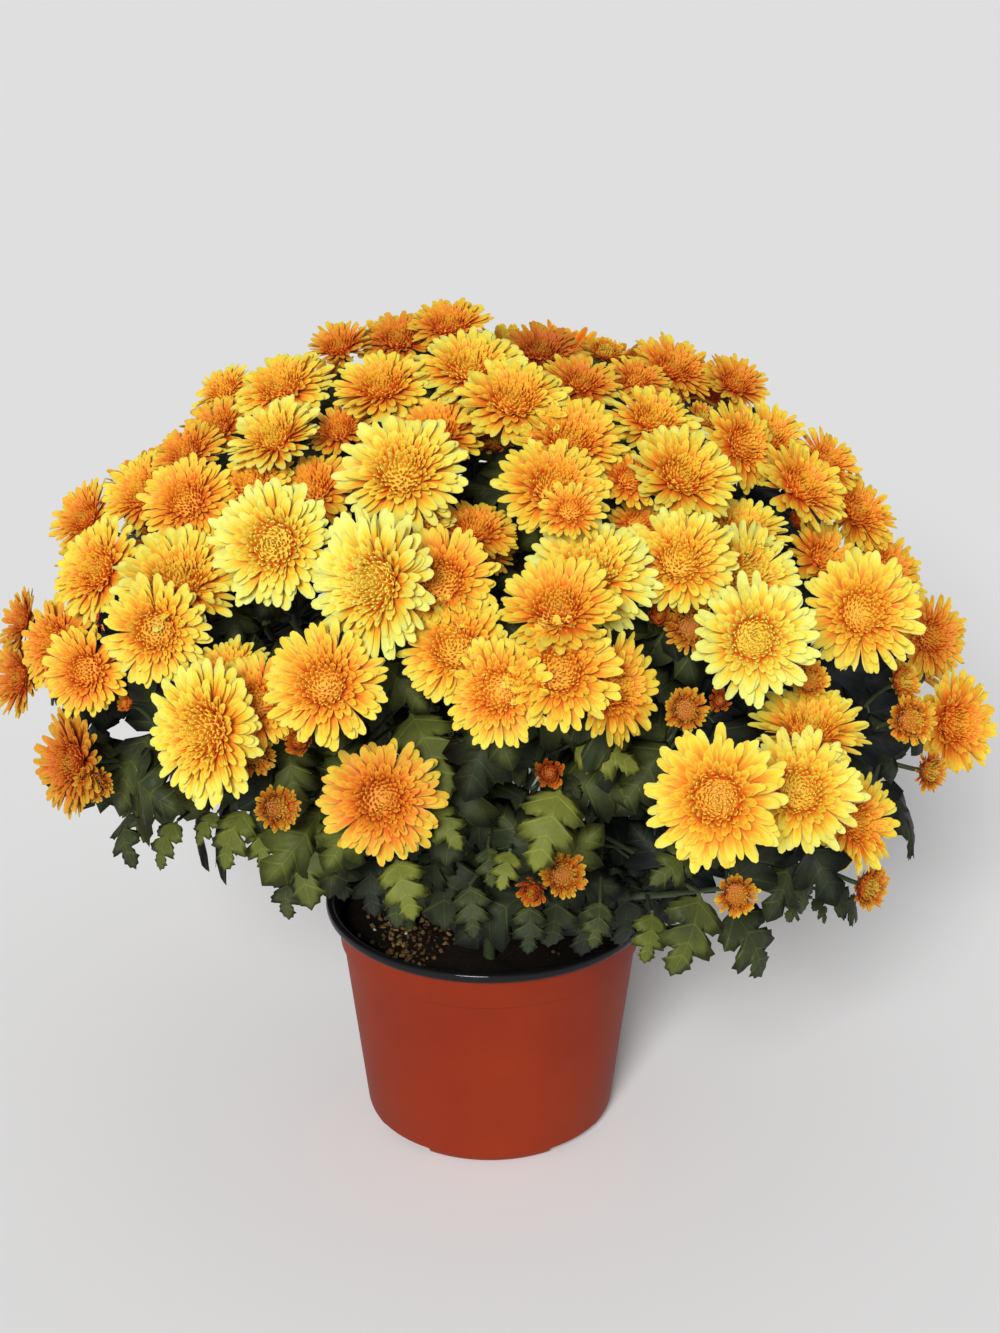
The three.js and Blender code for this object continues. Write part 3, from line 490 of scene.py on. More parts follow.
ray_blank = petal_blank("ray_blank", RAY_SECTION, RAY_OUTLINE, 4)
inner_blank = petal_blank("inner_blank", INNER_SECTION, INNER_OUTLINE, 3)
floret_blank = petal_blank("floret_blank", FLORET_SECTION, FLORET_OUTLINE, 2)
bract_blank = petal_blank("bract_blank", INNER_SECTION, BRACT_OUTLINE, 3)
for blank in (ray_blank, inner_blank, floret_blank, bract_blank):
    print("faces of the", blank.name, len(blank.data.polygons))

# %% [markdown]
# ## A layer of petals
# In a double bloom every petal grows at the golden angle from the one before it, from the centre out. One
# node tree makes one layer: it sets out the petals' numbers on points, puts a blank on each, and then
# bends every blank along an arc. Each size runs from its value at the layer's first petal to its value at
# the last, so petals grow longer, wider and flatter towards the rim. All sizes are shares of the bloom's
# radius, and angles are in radians from the level.

# %% Tree: petal layer
GOLDEN_ANGLE = math.radians(SPIRAL_TURN)
LAYER_SIZES = ("Seat", "Height", "Length", "Width", "Rise", "Curl", "Ring")
SCRATCH = ("turn", "seat", "height", "length", "half", "rise", "curl", "sway", "twist")
# how far each number of a petal strays by chance
STRAY = {
    "length": 0.09, "turn": 0.09, "half": 0.12, "rise": 0.11,
    "curl": 0.1, "sway": 0.12, "twist": 0.5, "shade": 1,
}
NEVER_STRAIGHT = 0.001  # a curl of nothing at all would divide by zero
SEED_STEP = 10


def petal_layer_tree():
    inputs = [
        ("Petal", "NodeSocketObject", None),
        ("Count", "NodeSocketInt", 20),
        ("Seed", "NodeSocketInt", 0),
        ("Scatter", "NodeSocketFloat", 1),
        ("Cupping", "NodeSocketFloat", 0),
    ]
    for size in LAYER_SIZES:
        inputs += [(f"{size} of first", "NodeSocketFloat", 0), (f"{size} of last", "NodeSocketFloat", 0)]
    tree, given = new_tree("petal_layer", inputs)
    index = Field(tree, tree.nodes.new("GeometryNodeInputIndex").outputs[0])
    share = (index + 0.5) / Field(tree, given.outputs["Count"])
    scatter = Field(tree, given.outputs["Scatter"])

    def in_layer(size, share=share):
        ends = (Field(tree, given.outputs[f"{size} of {end}"]) for end in ("first", "last"))
        return between(*ends, share)

    def chance(name):
        seed = Field(tree, given.outputs["Seed"]) * SEED_STEP + (list(STRAY).index(name) + 1)
        return random_value(tree, -STRAY[name], STRAY[name], ID=index, Seed=seed) * scatter

    points = add_node(tree, "GeometryNodePoints", {"Count": given.outputs["Count"]}).outputs[0]
    numbers = {
        "turn": index * GOLDEN_ANGLE + chance("turn"),
        "seat": in_layer("Seat", share.power(0.5)),
        "height": in_layer("Height"),
        "length": in_layer("Length", share.power(0.5)) * (chance("length") + 1),
        "half": in_layer("Width") * (chance("half") + 1),
        "rise": in_layer("Rise") + chance("rise") + Field(tree, given.outputs["Cupping"]),
        "curl": in_layer("Curl") + chance("curl") + NEVER_STRAIGHT,
        "sway": chance("sway"),
        "twist": chance("twist"),
        "ring": in_layer("Ring"),
        "shade": chance("shade"),
    }
    for name, value in numbers.items():
        points = store(tree, points, name, value)
    geometry, across, along, lift = bendable(tree, copies_of(tree, points, given.outputs["Petal"]))
    number = {name: stored(tree, name) for name in SCRATCH}
    angle = number["rise"] + number["curl"] * along
    outwards = number["length"] * (angle.sin() - number["rise"].sin()) / number["curl"]
    upwards = number["length"] * (number["rise"].cos() - angle.cos()) / number["curl"]
    side = across * number["half"] + number["sway"] * along * along * number["length"]
    proud = (lift + number["twist"] * across * along) * number["half"]
    reach = number["seat"] + outwards - proud * angle.sin()
    top = number["height"] + upwards + proud * angle.cos()
    x = reach * number["turn"].cos() - side * number["turn"].sin()
    y = reach * number["turn"].sin() + side * number["turn"].cos()
    place = add_node(tree, "ShaderNodeCombineXYZ", {"X": x, "Y": y, "Z": top}).outputs[0]
    finish_tree(tree, bent(tree, geometry, place, SCRATCH))
    return tree


layer_tree = petal_layer_tree()
print("nodes in the layer tree:", len(layer_tree.nodes))

# %% [markdown]
# ## Three kinds of head
# An open bloom has long flat rays, shorter ones that stand up round the middle, and a button of tiny
# florets. A half-open head is a small ruffled cup, whose rays are short and stand up. A bud is a closed
# ball of rays that curve inwards. Each has green bracts under it. The layers differ only in their
# numbers, so each kind of head is a table with a row for each layer, and one function makes its tree.

# %% Layers of each kind of head
BRACT_RING = -1.0  # tells the green parts of a head from its petals
HEART_RING = -0.3  # the middle of a young head, where the florets are still greenish
GREEN = (BRACT_RING, BRACT_RING)
# a layer's blank, and at its first and last petal the seat, height, length, width, rise, curl and ring
LAYERS = {
    "open": {
        "Rays": (
            ray_blank, (0.15, 0.15), (0.37, 0.3), (0.58, 0.89), (0.062, 0.088),
            (0.46, 0.16), (-0.3, -0.14), (0.55, 1),
        ),
        "Inner rays": (
            inner_blank, (0.32, 0.26), (0.41, 0.37), (0.17, 0.46), (0.034, 0.064),
            (1.1, 0.62), (-0.2, -0.3), (0.18, 0.5),
        ),
        "Florets": (
            floret_blank, (0, 0.37), (0.46, 0.4), (0.14, 0.2), (0.03, 0.038),
            (1.4, 1), (0.2, -0.1), (-0.08, 0.16),
        ),
        "Bracts": (
            bract_blank, (0.12, 0.12), (0.16, 0.24), (0.16, 0.26), (0.05, 0.05),
            (0.3, 0.5), (0.5, 0.1), GREEN,
        ),
    },
    "half_open": {
        "Rays": (
            inner_blank, (0.42, 0.44), (0.42, 0.34), (0.26, 0.44), (0.05, 0.078),
            (1.1, 0.45), (0.3, -0.1), (0.7, 1),
        ),
        "Inner rays": (
            inner_blank, (0.33, 0.45), (0.46, 0.4), (0.2, 0.3), (0.034, 0.056),
            (1.35, 0.85), (0.1, -0.3), (0.3, 0.7),
        ),
        "Florets": (
            floret_blank, (0, 0.4), (0.47, 0.42), (0.14, 0.22), (0.034, 0.044),
            (1.3, 0.95), (0.3, 0.1), (HEART_RING, 0.05),
        ),
        "Bracts": (
            bract_blank, (0.2, 0.2), (0.14, 0.3), (0.36, 0.5), (0.1, 0.1),
            (0.5, 0.7), (0.5, 0.2), GREEN,
        ),
    },
    "bud": {
        "Rays": (
            ray_blank, (0.3, 0.44), (0.4, 0.3), (0.6, 0.7), (0.13, 0.16),
            (1.2, 0.8), (0.7, 0.5), (0.2, 0.5),
        ),
        "Inner rays": (
            inner_blank, (0.1, 0.3), (0.5, 0.42), (0.4, 0.6), (0.08, 0.12),
            (1.5, 1.25), (0.2, 0.5), (0.1, 0.3),
        ),
        "Florets": (
            floret_blank, (0, 0.2), (0.6, 0.56), (0.24, 0.36), (0.04, 0.05),
            (1.57, 1.4), (0.1, 0.3), (HEART_RING, 0.05),
        ),
        "Bracts": (
            bract_blank, (0.22, 0.24), (0.14, 0.3), (0.5, 0.66), (0.14, 0.14),
            (0.7, 0.9), (1, 0.8), GREEN,
        ),
    },
}
SCATTER = {"open": 1, "half_open": 1.8, "bud": 1}
BRACT_COUNT = 14
COUNTED = ("Rays", "Inner rays", "Florets")


def head_tree(name, layers, scatter, petal_finish, green_finish):
    inputs = [(label, "NodeSocketInt", 30) for label in COUNTED] + [("Seed", "NodeSocketInt", 0)]
    inputs += [(label, "NodeSocketFloat", 0) for label in ("Cupping", "Tone")]
    tree, given = new_tree(name, inputs)
    join = tree.nodes.new("GeometryNodeJoinGeometry")
    feed(tree, join.inputs[0], given.outputs["Geometry"])
    for label, (blank, *sizes) in layers.items():
        values = {"Petal": blank, "Count": BRACT_COUNT, "Scatter": scatter, "Seed": given.outputs["Seed"]}
        if label in COUNTED:
            values |= {"Count": given.outputs[label], "Cupping": given.outputs["Cupping"]}
        for size, (first, last) in zip(LAYER_SIZES, sizes):
            values |= {f"{size} of first": first, f"{size} of last": last}
        layer = add_node(tree, "GeometryNodeGroup", values, node_tree=layer_tree, label=label)
        feed(tree, join.inputs[0], layer.outputs[0])
    # the head's tone and light: its own colour, with a painted highlight on the most lit heads and painted
    # shade on shaded ones
    geometry = store(tree, join.outputs[0], "tone", Field(tree, given.outputs["Tone"]))
    geometry = add_node(tree, "GeometryNodeRealizeInstances", {"Geometry": geometry}).outputs[0]
    is_green = stored(tree, "ring").is_under(BRACT_RING / 2)
    for finish, selection in ((petal_finish, True), (green_finish, is_green)):
        values = {"Geometry": geometry, "Selection": selection, "Material": finish}
        geometry = add_node(tree, "GeometryNodeSetMaterial", values).outputs[0]
    finish_tree(tree, geometry)
    return tree

# %% [markdown]
# ## Petal finish
# Petals run from orange-red at the base through gold to lemon at the tip. Young heads stop at orange, and
# the most lit ones are lemon almost to the base: partly their own colour, partly a painted highlight. Backs
# are redder. A ramp holds the five colours, and the numbers that the layers left on each petal say where on
# the ramp it is: how far along, which ring, which side, and the tone and light of the head. A painted texture
# could do it too, but the ramp keeps one palette for every bloom. Fine streaks follow the petal's length.
# After the ramp, the florets of the very middle turn greenish gold, and the petals of a bronze head, or of a
# head in shade near the dome's outline, are darkened: partly their own duller colour, partly painted shade.

# %% Finish helpers


def new_material(name, numbers):
    """A material, its tree and its shader, with what is the same all over set on the shader's sockets."""
    material = bpy.data.materials.new(name)
    material.use_nodes = True
    shader = material.node_tree.nodes["Principled BSDF"]
    for socket, value in numbers.items():
        shader.inputs[socket].default_value = value
    return material, material.node_tree, shader


def number_of(tree, name):
    """A Field that reads a named number in a material."""
    node = tree.nodes.new("ShaderNodeAttribute")
    node.attribute_name = name
    return Field(tree, node.outputs["Fac"])


def ramp(tree, position, stops):
    """A colour that follows position through the stops, each (place, red, green, blue)."""
    node = tree.nodes.new("ShaderNodeValToRGB")
    elements = node.color_ramp.elements
    while len(elements) < len(stops):
        elements.new(1)
    for element, (place, *colour) in zip(elements, stops):
        element.position = place
        element.color = (*colour, 1)
    feed(tree, node.inputs[0], position)
    return node.outputs[0]


def mixed(tree, factor, first, second, blend="MIX"):
    """The second colour over the first one, by the factor. A and B are also numbers' names in this node."""
    values = {"Factor": factor, "A": first, "B": second}
    return add_node(tree, "ShaderNodeMix", values, data_type="RGBA", blend_type=blend).outputs[2]


def noise(tree, scale, detail, vector=None):
    """Soft random spots, in the object's own space unless another place is given."""
    vector = vector or tree.nodes.new("ShaderNodeTexCoord").outputs["Object"]
    node = add_node(tree, "ShaderNodeTexNoise", {"Scale": scale, "Detail": detail, "Vector": vector})
    return Field(tree, node.outputs[0])


def bump(tree, shader, height, strength, distance):
    node = add_node(tree, "ShaderNodeBump", {"Strength": strength, "Distance": distance, "Height": height})
    feed(tree, shader.inputs["Normal"], node.outputs[0])


# %% Petal material
# the palest stop, near white, is reached by the most lit heads and is partly a painted highlight
PETAL_RAMP = [
    (0.0, 0.60, 0.045, 0.005),
    (0.22, 0.86, 0.16, 0.012),
    (0.45, 0.90, 0.37, 0.022),
    (0.68, 0.86, 0.65, 0.042),
    (1.0, 0.77, 0.82, 0.20),
]
# where the base and the tip of a petal are on the ramp: in the middle of the head, and what is added for
# each ring outwards, in the button, and for the tone and light of the head, which paints lit heads pale
BASE = {"middle": 0.06, "ring": 0.1, "button": 0.12, "tone": -0.08}
TIP = {"middle": 0.48, "ring": 0.34, "button": 0.12, "tone": -0.14}
BUTTON_FADE = -4
FADE = {"reach": 1.12, "power": 1.8}  # from base to tip
LIGHTER = {"all": -0.07, "back": -0.2, "tone": -0.06, "shade": 0.06, "streak": 0.3, "margin": 0.26}
STREAKS = {"across": 7.0, "along": 1.5, "shade": 40}
STREAK_NOISE = (1, 2)  # scale and detail
PETAL_BUMP = (0.3, 0.0004)  # strength, and height in metres
HEART_GREEN = (0.78, 0.54, 0.05, 1)
HEART = {"ring": -6, "root": 0.1}
BRONZE_AND_SHADE = (0.58, 0.54, 0.54, 1)  # what darkens the petals of a bronze head: partly their own duller colour, partly painted shade
BRONZE_AND_SHADE_FROM, BRONZE_AND_SHADE_RATE = 0.55, 1.3
PETAL_SHADER = {
    "Roughness": 0.6, "Specular IOR Level": 0.25,
    "Subsurface Weight": 0.3, "Subsurface Radius": (1, 0.5, 0.15), "Subsurface Scale": 0.001,
}


def petal_material():
    material, tree, shader = new_material("petals", PETAL_SHADER)
    along, ring, across, shade, tone, back = (
        number_of(tree, name) for name in ("along", "ring", "across", "shade", "tone", "back")
    )
    place = {"X": across * STREAKS["across"], "Y": along * STREAKS["along"], "Z": shade * STREAKS["shade"]}
    streak = noise(tree, *STREAK_NOISE, add_node(tree, "ShaderNodeCombineXYZ", place).outputs[0])
    button = (ring * BUTTON_FADE + 1).at_least(0)
    base = ring * BASE["ring"] + BASE["middle"] + button * (tone * BASE["tone"] + BASE["button"])
    tip = ring * TIP["ring"] + TIP["middle"] + button * TIP["button"] + tone * TIP["tone"]
    warmth = between(base, tip, (along * FADE["reach"]).at_most(1).power(FADE["power"])) + LIGHTER["all"]
    lighter = {"back": back, "tone": tone, "shade": shade, "streak": streak - 0.5, "margin": across * across}
    for name, value in lighter.items():
        warmth = warmth + value * LIGHTER[name]
    heart = (ring * HEART["ring"] * (along + HEART["root"])).at_least(0).at_most(1)
    # painted shade and the head's own bronze: the higher the tone and light, the more the colour is
    # multiplied down
    bronze_and_shade = ((tone - BRONZE_AND_SHADE_FROM) * BRONZE_AND_SHADE_RATE).at_least(0)
    colour = mixed(tree, heart, ramp(tree, warmth, PETAL_RAMP), HEART_GREEN)
    feed(tree, shader.inputs["Base Color"], mixed(tree, bronze_and_shade, colour, BRONZE_AND_SHADE, "MULTIPLY"))
    bump(tree, shader, streak, *PETAL_BUMP)
    return material


petal_finish = petal_material()

# %% [markdown]
# ## Green finishes
# Leaves are dark and dull on top, paler underneath, with a light midrib and side veins that run out to
# the lobes. The finish reads the numbers left on each leaf, so the veins sit right however it is turned.
# Stems, bracts and calyxes are a plainer green with a fine grain.

# %% Leaf, stem and bract materials
LEAF_RAMP = [
    (0.0, 0.009, 0.011, 0.012),
    (0.25, 0.034, 0.044, 0.017),
    (0.5, 0.105, 0.122, 0.021),
    (0.75, 0.20, 0.22, 0.035),
    (1.0, 0.30, 0.31, 0.07),
]
STEM_RAMP = [(0.0, 0.013, 0.017, 0.009), (0.5, 0.034, 0.05, 0.016), (1.0, 0.085, 0.105, 0.032)]
VEIN_STARTS = (0.11, 0.36, 0.58, 0.73)
VEIN_SLOPE = 0.24
VEIN = {"midrib": 0.8, "thin": -65, "light": 0.15}
# the shade number carries a leaf's own random tone, its painted highlight and its painted shade
LEAF_LIGHT = {"blotch": 0.45, "grain": 0.14, "shade": 0.16, "back": 0.2}
GRAIN_HEIGHT = 0.4
BLOTCHES, LEAF_GRAIN = (60, 4), (900, 3)
STEM_BLOTCHES, STEM_GRAIN = (40, 2), (700, 3)
LEAF_BUMP, STEM_BUMP = (0.35, 0.0004), (0.3, 0.0004)


def leaf_material():
    material, tree, shader = new_material("leaf", {"Roughness": 0.55, "Specular IOR Level": 0.15})
    across = number_of(tree, "across").absolute()
    level = number_of(tree, "along") - across * VEIN_SLOPE
    nearest = across * VEIN["midrib"]
    for start in VEIN_STARTS:
        nearest = nearest.at_most((level - start).absolute())
    vein = (nearest * VEIN["thin"] + 1).at_least(0)
    values = {"blotch": noise(tree, *BLOTCHES), "grain": noise(tree, *LEAF_GRAIN)}
    values |= {name: number_of(tree, name) for name in ("shade", "back")}
    light = vein * VEIN["light"]
    for name, value in values.items():
        light = light + value * LEAF_LIGHT[name]
    feed(tree, shader.inputs["Base Color"], ramp(tree, light, LEAF_RAMP))
    bump(tree, shader, values["grain"] * GRAIN_HEIGHT - vein, *LEAF_BUMP)
    return material


def stem_material(name, roughness):
    material, tree, shader = new_material(name, {"Roughness": roughness})
    grain = noise(tree, *STEM_GRAIN)
    light = between(grain, noise(tree, *STEM_BLOTCHES), 0.5)
    feed(tree, shader.inputs["Base Color"], ramp(tree, light, STEM_RAMP))
    bump(tree, shader, grain, *STEM_BUMP)
    return material


leaf_finish = leaf_material()
stem_finish = stem_material("stem", 0.6)
bract_finish = stem_material("bract", 0.55)
print("materials:", [material.name for material in bpy.data.materials])

# %% [markdown]
# ## Growing the heads
# The calyx is a small green cup that the petals stand in. It is the one part of a head that does not
# repeat, so it is a plain lathe shape, and the head's tree adds the layers to it. The tree makes a head
# of radius 1 that faces up. Code then sizes it, turns it and sets it on its stalk's end.

# %% Calyx cup and the head's trees
# radius and height, from the stalk up round the brim to the middle of the top
CUP_PROFILES = {
    "open": [
        (0, -0.02), (0.05, 0), (0.13, 0.1), (0.22, 0.24), (0.36, 0.36), (0.34, 0.42), (0.2, 0.48), (0, 0.51),
    ],
    "half_open": [
        (0, -0.03), (0.1, 0), (0.28, 0.12), (0.42, 0.28), (0.46, 0.38), (0.4, 0.44), (0.24, 0.48), (0, 0.49),
    ],
    "bud": [
        (0, -0.03), (0.12, 0), (0.32, 0.14), (0.42, 0.3), (0.44, 0.42), (0.4, 0.54), (0.24, 0.66), (0, 0.7),
    ],
}
CUP_SIDES = 10
# the cup's top shows between the florets, so it has their colour: as far along a petal, in such a ring
CUP_SHADE = {"open": (0.8, -0.06), "half_open": (0.25, -0.12), "bud": (0.3, -0.05)}


def lathe(name, profile, sides):
    """A solid of revolution round +Z from a profile of (radius, height), from the axis to the axis."""
    work = bmesh.new()
    angles = [2 * math.pi * k / sides for k in range(sides)]
    rows = []
    for radius, height in profile:
        around = angles if radius else [0]
        rows.append([work.verts.new((radius * math.cos(a), radius * math.sin(a), height)) for a in around])
    for low, high in zip(rows, rows[1:]):
        for k in range(sides):
            corners = [low[k % len(low)], low[(k + 1) % len(low)]]
            corners += [high[(k + 1) % len(high)], high[k % len(high)]]
            work.faces.new(list(dict.fromkeys(corners)))  # three corners where a row is a point on the axis
    bmesh.ops.recalc_face_normals(work, faces=work.faces)
    return mesh_of(name, work)


head_hosts = {}
for kind, profile in CUP_PROFILES.items():
    cup = lathe(f"cup_{kind}", profile, CUP_SIDES)
    brim = max(height for radius, height in profile[:-2] if radius >= max(profile)[0])
    cup_along, cup_ring = CUP_SHADE[kind]
    number_mesh(cup, "along", "POINT", [cup_along] * len(cup.vertices))
    number_mesh(cup, "ring", "POINT", [cup_ring if v.co.z > brim else BRACT_RING for v in cup.vertices])
    host = new_object(f"host_{kind}", cup)
    modifier = host.modifiers.new("head", "NODES")
    modifier.node_group = head_tree(f"head_{kind}", LAYERS[kind], SCATTER[kind], petal_finish, bract_finish)
    head_hosts[kind] = (host, modifier)
print("kinds of head:", sorted(head_hosts))

# %% [markdown]
# Neighbouring blooms press on each other. The frame shares the room between two heads at a plane, nearer
# the smaller and lower one. A petal that reaches past the plane gives way a little and bends up a little,
# so that neighbours lie over each other softly.

# %% Room between neighbours
REACH = {"per_radius": 0.5, "per_lift": 0.03, "least": 0.27, "most": 0.73, "watch": 1.25}
GIVE_WAY, BEND_UP = 0.12, 0.08


def room_of(head, other):
    """How far the head reaches towards its neighbour, core to plane."""
    apart = np.linalg.norm(head["core"] - other["core"])
    bigger = REACH["per_radius"] * (head["radius"] - other["radius"]) / apart
    higher = REACH["per_lift"] * (head["lift"] - other["lift"])
    return apart * min(max(0.5 + bigger + higher, REACH["least"]), REACH["most"])


def press(points, head):
    """Moves the points of a head (in mm) that reach past its planes."""
    for other in heads:
        apart = other["core"] - head["core"]
        distance = np.linalg.norm(apart)
        if other is head or distance > REACH["watch"] * (head["radius"] + other["radius"]):
            continue
        towards = apart / distance
        excess = (points - head["core"]) @ towards - room_of(head, other)
        excess = np.maximum(excess, 0)[:, None]
        points = points - towards * excess * GIVE_WAY + head["facing"] * excess * BEND_UP
    return points

# %% [markdown]
# Big blooms have more petals than small ones, and the far side has fewer than the front. The one to three
# heads of a spray are then joined into one piece for each node.

# %% Sprays of heads
BUD_BREADTH = 36
OPEN_SWELL, FAR_SWELL, CUPPED_SWELL = 1.12, 1.2, 1.2
EDGE_ON, EDGE_ON_CUPPING = 0.7, 0.6  # heads at the dome's outline stand fuller
CUPPING_CHANCE = 0.3
NEARLY_UP = 0.9
PETALS_AT_RADIUS = 21.0
PETAL_COUNTS = {"open": (80, 62, 124), "half_open": (86, 58, 84), "bud": (22, 24, 20)}
FAR_PETAL_COUNTS = (46, 34, 30)


def kind_of(head):
    small = 2 * head["radius"] * FOCAL / np.linalg.norm(head["heart"] - VIEWPOINT) < BUD_BREADTH
    return "bud" if head["shape"] == "half_open" and small else head["shape"]


def is_far(head):
    return head["index"] >= len(BLOOMS) + len(HALF_OPEN_HEADS)


def petal_counts(head, kind):
    if is_far(head):
        return FAR_PETAL_COUNTS
    if kind != "open":
        return PETAL_COUNTS[kind]
    return [round(count * head["radius"] / PETALS_AT_RADIUS) for count in PETAL_COUNTS[kind]]


def swell_of(head):
    """How much wider a head is than its solid, whose petals keep clear of the neighbours."""
    if head["shape"] != "open":
        return CUPPED_SWELL
    return FAR_SWELL if is_far(head) else OPEN_SWELL


def grow_head(head):
    kind = kind_of(head)
    host, modifier = head_hosts[kind]
    values = dict(zip(COUNTED, petal_counts(head, kind)))
    values["Seed"] = head["index"]
    edge_on = max(0, EDGE_ON - head["facing"] @ unit(VIEWPOINT - head["heart"]))
    values["Cupping"] = CUPPING_CHANCE * (draw(head["index"], "cupping") - 0.5) + EDGE_ON_CUPPING * edge_on
    values["Tone"] = float(head["tone"])
    set_inputs(modifier, values)
    mesh = grown(host)
    points = np.empty(len(mesh.vertices) * 3, np.float32)
    mesh.vertices.foreach_get("co", points)
    facing = head["facing"]
    side = unit(np.cross(facing, UP if abs(facing[2]) < NEARLY_UP else SIGHT_RIGHT))
    axes = np.array((side, np.cross(facing, side), facing))
    turn = 2 * math.pi * draw(head["index"], "spin")
    spin = np.array(((math.cos(turn), math.sin(turn), 0), (-math.sin(turn), math.cos(turn), 0), (0, 0, 1)))
    placed = head["stalk_end"] + (points.reshape(-1, 3) @ spin @ axes) * head["radius"] * swell_of(head)
    mesh.vertices.foreach_set("co", (press(placed, head) * MM).astype(np.float32).ravel())
    mesh.update()
    return mesh


def join_pieces(name, meshes):
    """One object from several meshes, with their materials and numbers."""
    parts = [new_object(name, mesh) for mesh in meshes]
    if len(parts) > 1:
        with bpy.context.temp_override(active_object=parts[0], selected_editable_objects=parts):
            bpy.ops.object.join()
    parts[0].name = name
    return parts[0]


def take_place(piece, node):
    """Puts the piece in the root body, and hides the node of the frame that it stands for."""
    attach(piece, "root")
    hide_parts(node)


triangles = 0
for node in bloom_nodes:
    piece = join_pieces(f"petals_{node[-2:]}", [grow_head(head) for head in sprays[node]])
    take_place(piece, node)
    triangles += sum(len(face.vertices) - 2 for face in piece.data.polygons)
print("triangles of all heads:", triangles)

# %% [markdown]
# ## Stems
# Five cuttings stand in the pot. Each forks above the rim into one side stem for every spray, the lowest
# spray on the lowest one, and from the side stem's end a stalk runs to each head. Their places follow
# from the heads, as they do in the frame. Stalks leave a head straight back and curve over into the side
# stem, which a curve with two handles gives.

# %% Lines of the stems
CUTTINGS = 5
CUTTING = {"radius": 36, "root": 70, "lean": 3, "rim": 110, "fork_height": 172, "fork_radius": 50}
AXIS_SHARE = 0.55
LATERAL_INWARD = 42
LOWEST_JOINT = 0.15
STEM_RADII = (3.0, 2.9, 2.1)
LATERAL_RADII = (1.9, 1.5)
STALK_RADII = (0.95, 1.2)
STALK_POINTS = 10
HANDLES = (0.38, 0.3)
INTO_CALYX = 0.1


def sector_of(point):
    """The number of the cutting whose share of the plant holds the point, counted from the front one."""
    turns = math.atan2(point[1], point[0]) / (2 * math.pi) + 0.25 + 0.5 / CUTTINGS
    return int((turns - math.floor(turns)) * CUTTINGS)


def cutting_at(number):
    angle = 2 * math.pi * number / CUTTINGS - math.pi / 2
    out = np.array((math.cos(angle), math.sin(angle), 0))
    foot = out * CUTTING["radius"] + UP * CUTTING["root"]
    collar = out * (CUTTING["radius"] + CUTTING["lean"]) + UP * CUTTING["rim"]
    fork = out * CUTTING["fork_radius"] + UP * CUTTING["fork_height"]
    plant = {"foot": foot, "collar": collar, "fork": fork, "spots": [(collar, fork)]}
    return plant | {layer: [] for layer in ("sprays", "laterals", "lines", "leaves", "small_leaves")}


def smooth_way(start, first_handle, second_handle, end, count):
    """Points on a curve with two handles."""
    shares = np.linspace(0, 1, count)[:, None]
    rest = 1 - shares
    return (
        start * rest**3
        + first_handle * 3 * shares * rest**2
        + second_handle * 3 * shares**2 * rest
        + end * shares**3
    )


plants = [cutting_at(number) for number in range(CUTTINGS)]
for spray in sprays.values():
    middle = np.mean([head["stalk_end"] for head in spray], axis=0)
    inward = unit(UP * AXIS_SHARE * middle[2] - middle)
    hub = middle + inward * LATERAL_INWARD
    plants[sector_of(hub)]["sprays"].append((hub, spray))

for plant in plants:
    plant["lines"].append((np.array([plant["foot"], plant["collar"], plant["fork"]]), STEM_RADII))
    plant["sprays"].sort(key=lambda entry: entry[0][2])
    for place, (hub, spray) in enumerate(plant["sprays"]):
        share = LOWEST_JOINT + (1 - LOWEST_JOINT) * (place + 1) / len(plant["sprays"])
        joint = between(plant["collar"], plant["fork"], share)
        plant["spots"].append((hub, joint))
        plant["laterals"].append((joint, hub, spray))
        plant["lines"].append((np.array([joint, hub]), LATERAL_RADII))
        onwards = unit(hub - joint)
        for head in spray:
            start = head["stalk_end"] + head["facing"] * INTO_CALYX * head["radius"]
            length = np.linalg.norm(start - hub)
            first_handle = start - head["facing"] * HANDLES[0] * length
            second_handle = hub + onwards * HANDLES[1] * length
            head["stalk"] = smooth_way(start, first_handle, second_handle, hub, STALK_POINTS)
            plant["lines"].append((head["stalk"], STALK_RADII))
print("lines per cutting:", [len(plant["lines"]) for plant in plants])

# %% [markdown]
# One tree turns a mesh of edges into round stems. Each point carries its radius, so a stem tapers, and the
# circle that is swept along has few sides, since stems are thin.

# %% Tree: stems


def stem_tree(finish):
    tree, given = new_tree("stems", [("Sides", "NodeSocketInt", 6)])
    lines = add_node(tree, "GeometryNodeMeshToCurve", {"Mesh": given.outputs["Geometry"]}).outputs[0]
    circle = {"Resolution": given.outputs["Sides"], "Radius": MM}
    ring = add_node(tree, "GeometryNodeCurvePrimitiveCircle", circle).outputs[0]
    swept = {"Curve": lines, "Profile Curve": ring, "Scale": stored(tree, "thickness"), "Fill Caps": True}
    sweep = add_node(tree, "GeometryNodeCurveToMesh", swept).outputs[0]
    smooth = add_node(tree, "GeometryNodeSetShadeSmooth", {"Geometry": sweep}).outputs[0]
    finish_tree(tree, smooth, finish)
    return tree


stems_tree = stem_tree(stem_finish)


def grow_stems(lines):
    """A mesh of round stems from (points, radii at both ends or at each point), in mm."""
    points, edges, radii = [], [], []
    for way, ends in lines:
        edges += [(len(points) + k, len(points) + k + 1) for k in range(len(way) - 1)]
        points += [place * MM for place in way]
        radii += list(ends) if len(ends) == len(way) else list(np.linspace(ends[0], ends[-1], len(way)))
    mesh = mesh_from("stem_lines", points, edges)
    number_mesh(mesh, "thickness", "POINT", radii)
    return grow_with(stems_tree, mesh)

# %% [markdown]
# ## One leaf
# A chrysanthemum leaf is cut into two lobes a side and a middle lobe, each with a few blunt teeth. Its
# outline is drawn as the corners of one half, from the stalk to the tip, each with the place on the
# midrib that its vein comes from. The blade is the strip between midrib and outline, with a crease in
# the middle and a rib underneath. A cut-out plane with a picture would have no edge of its own.

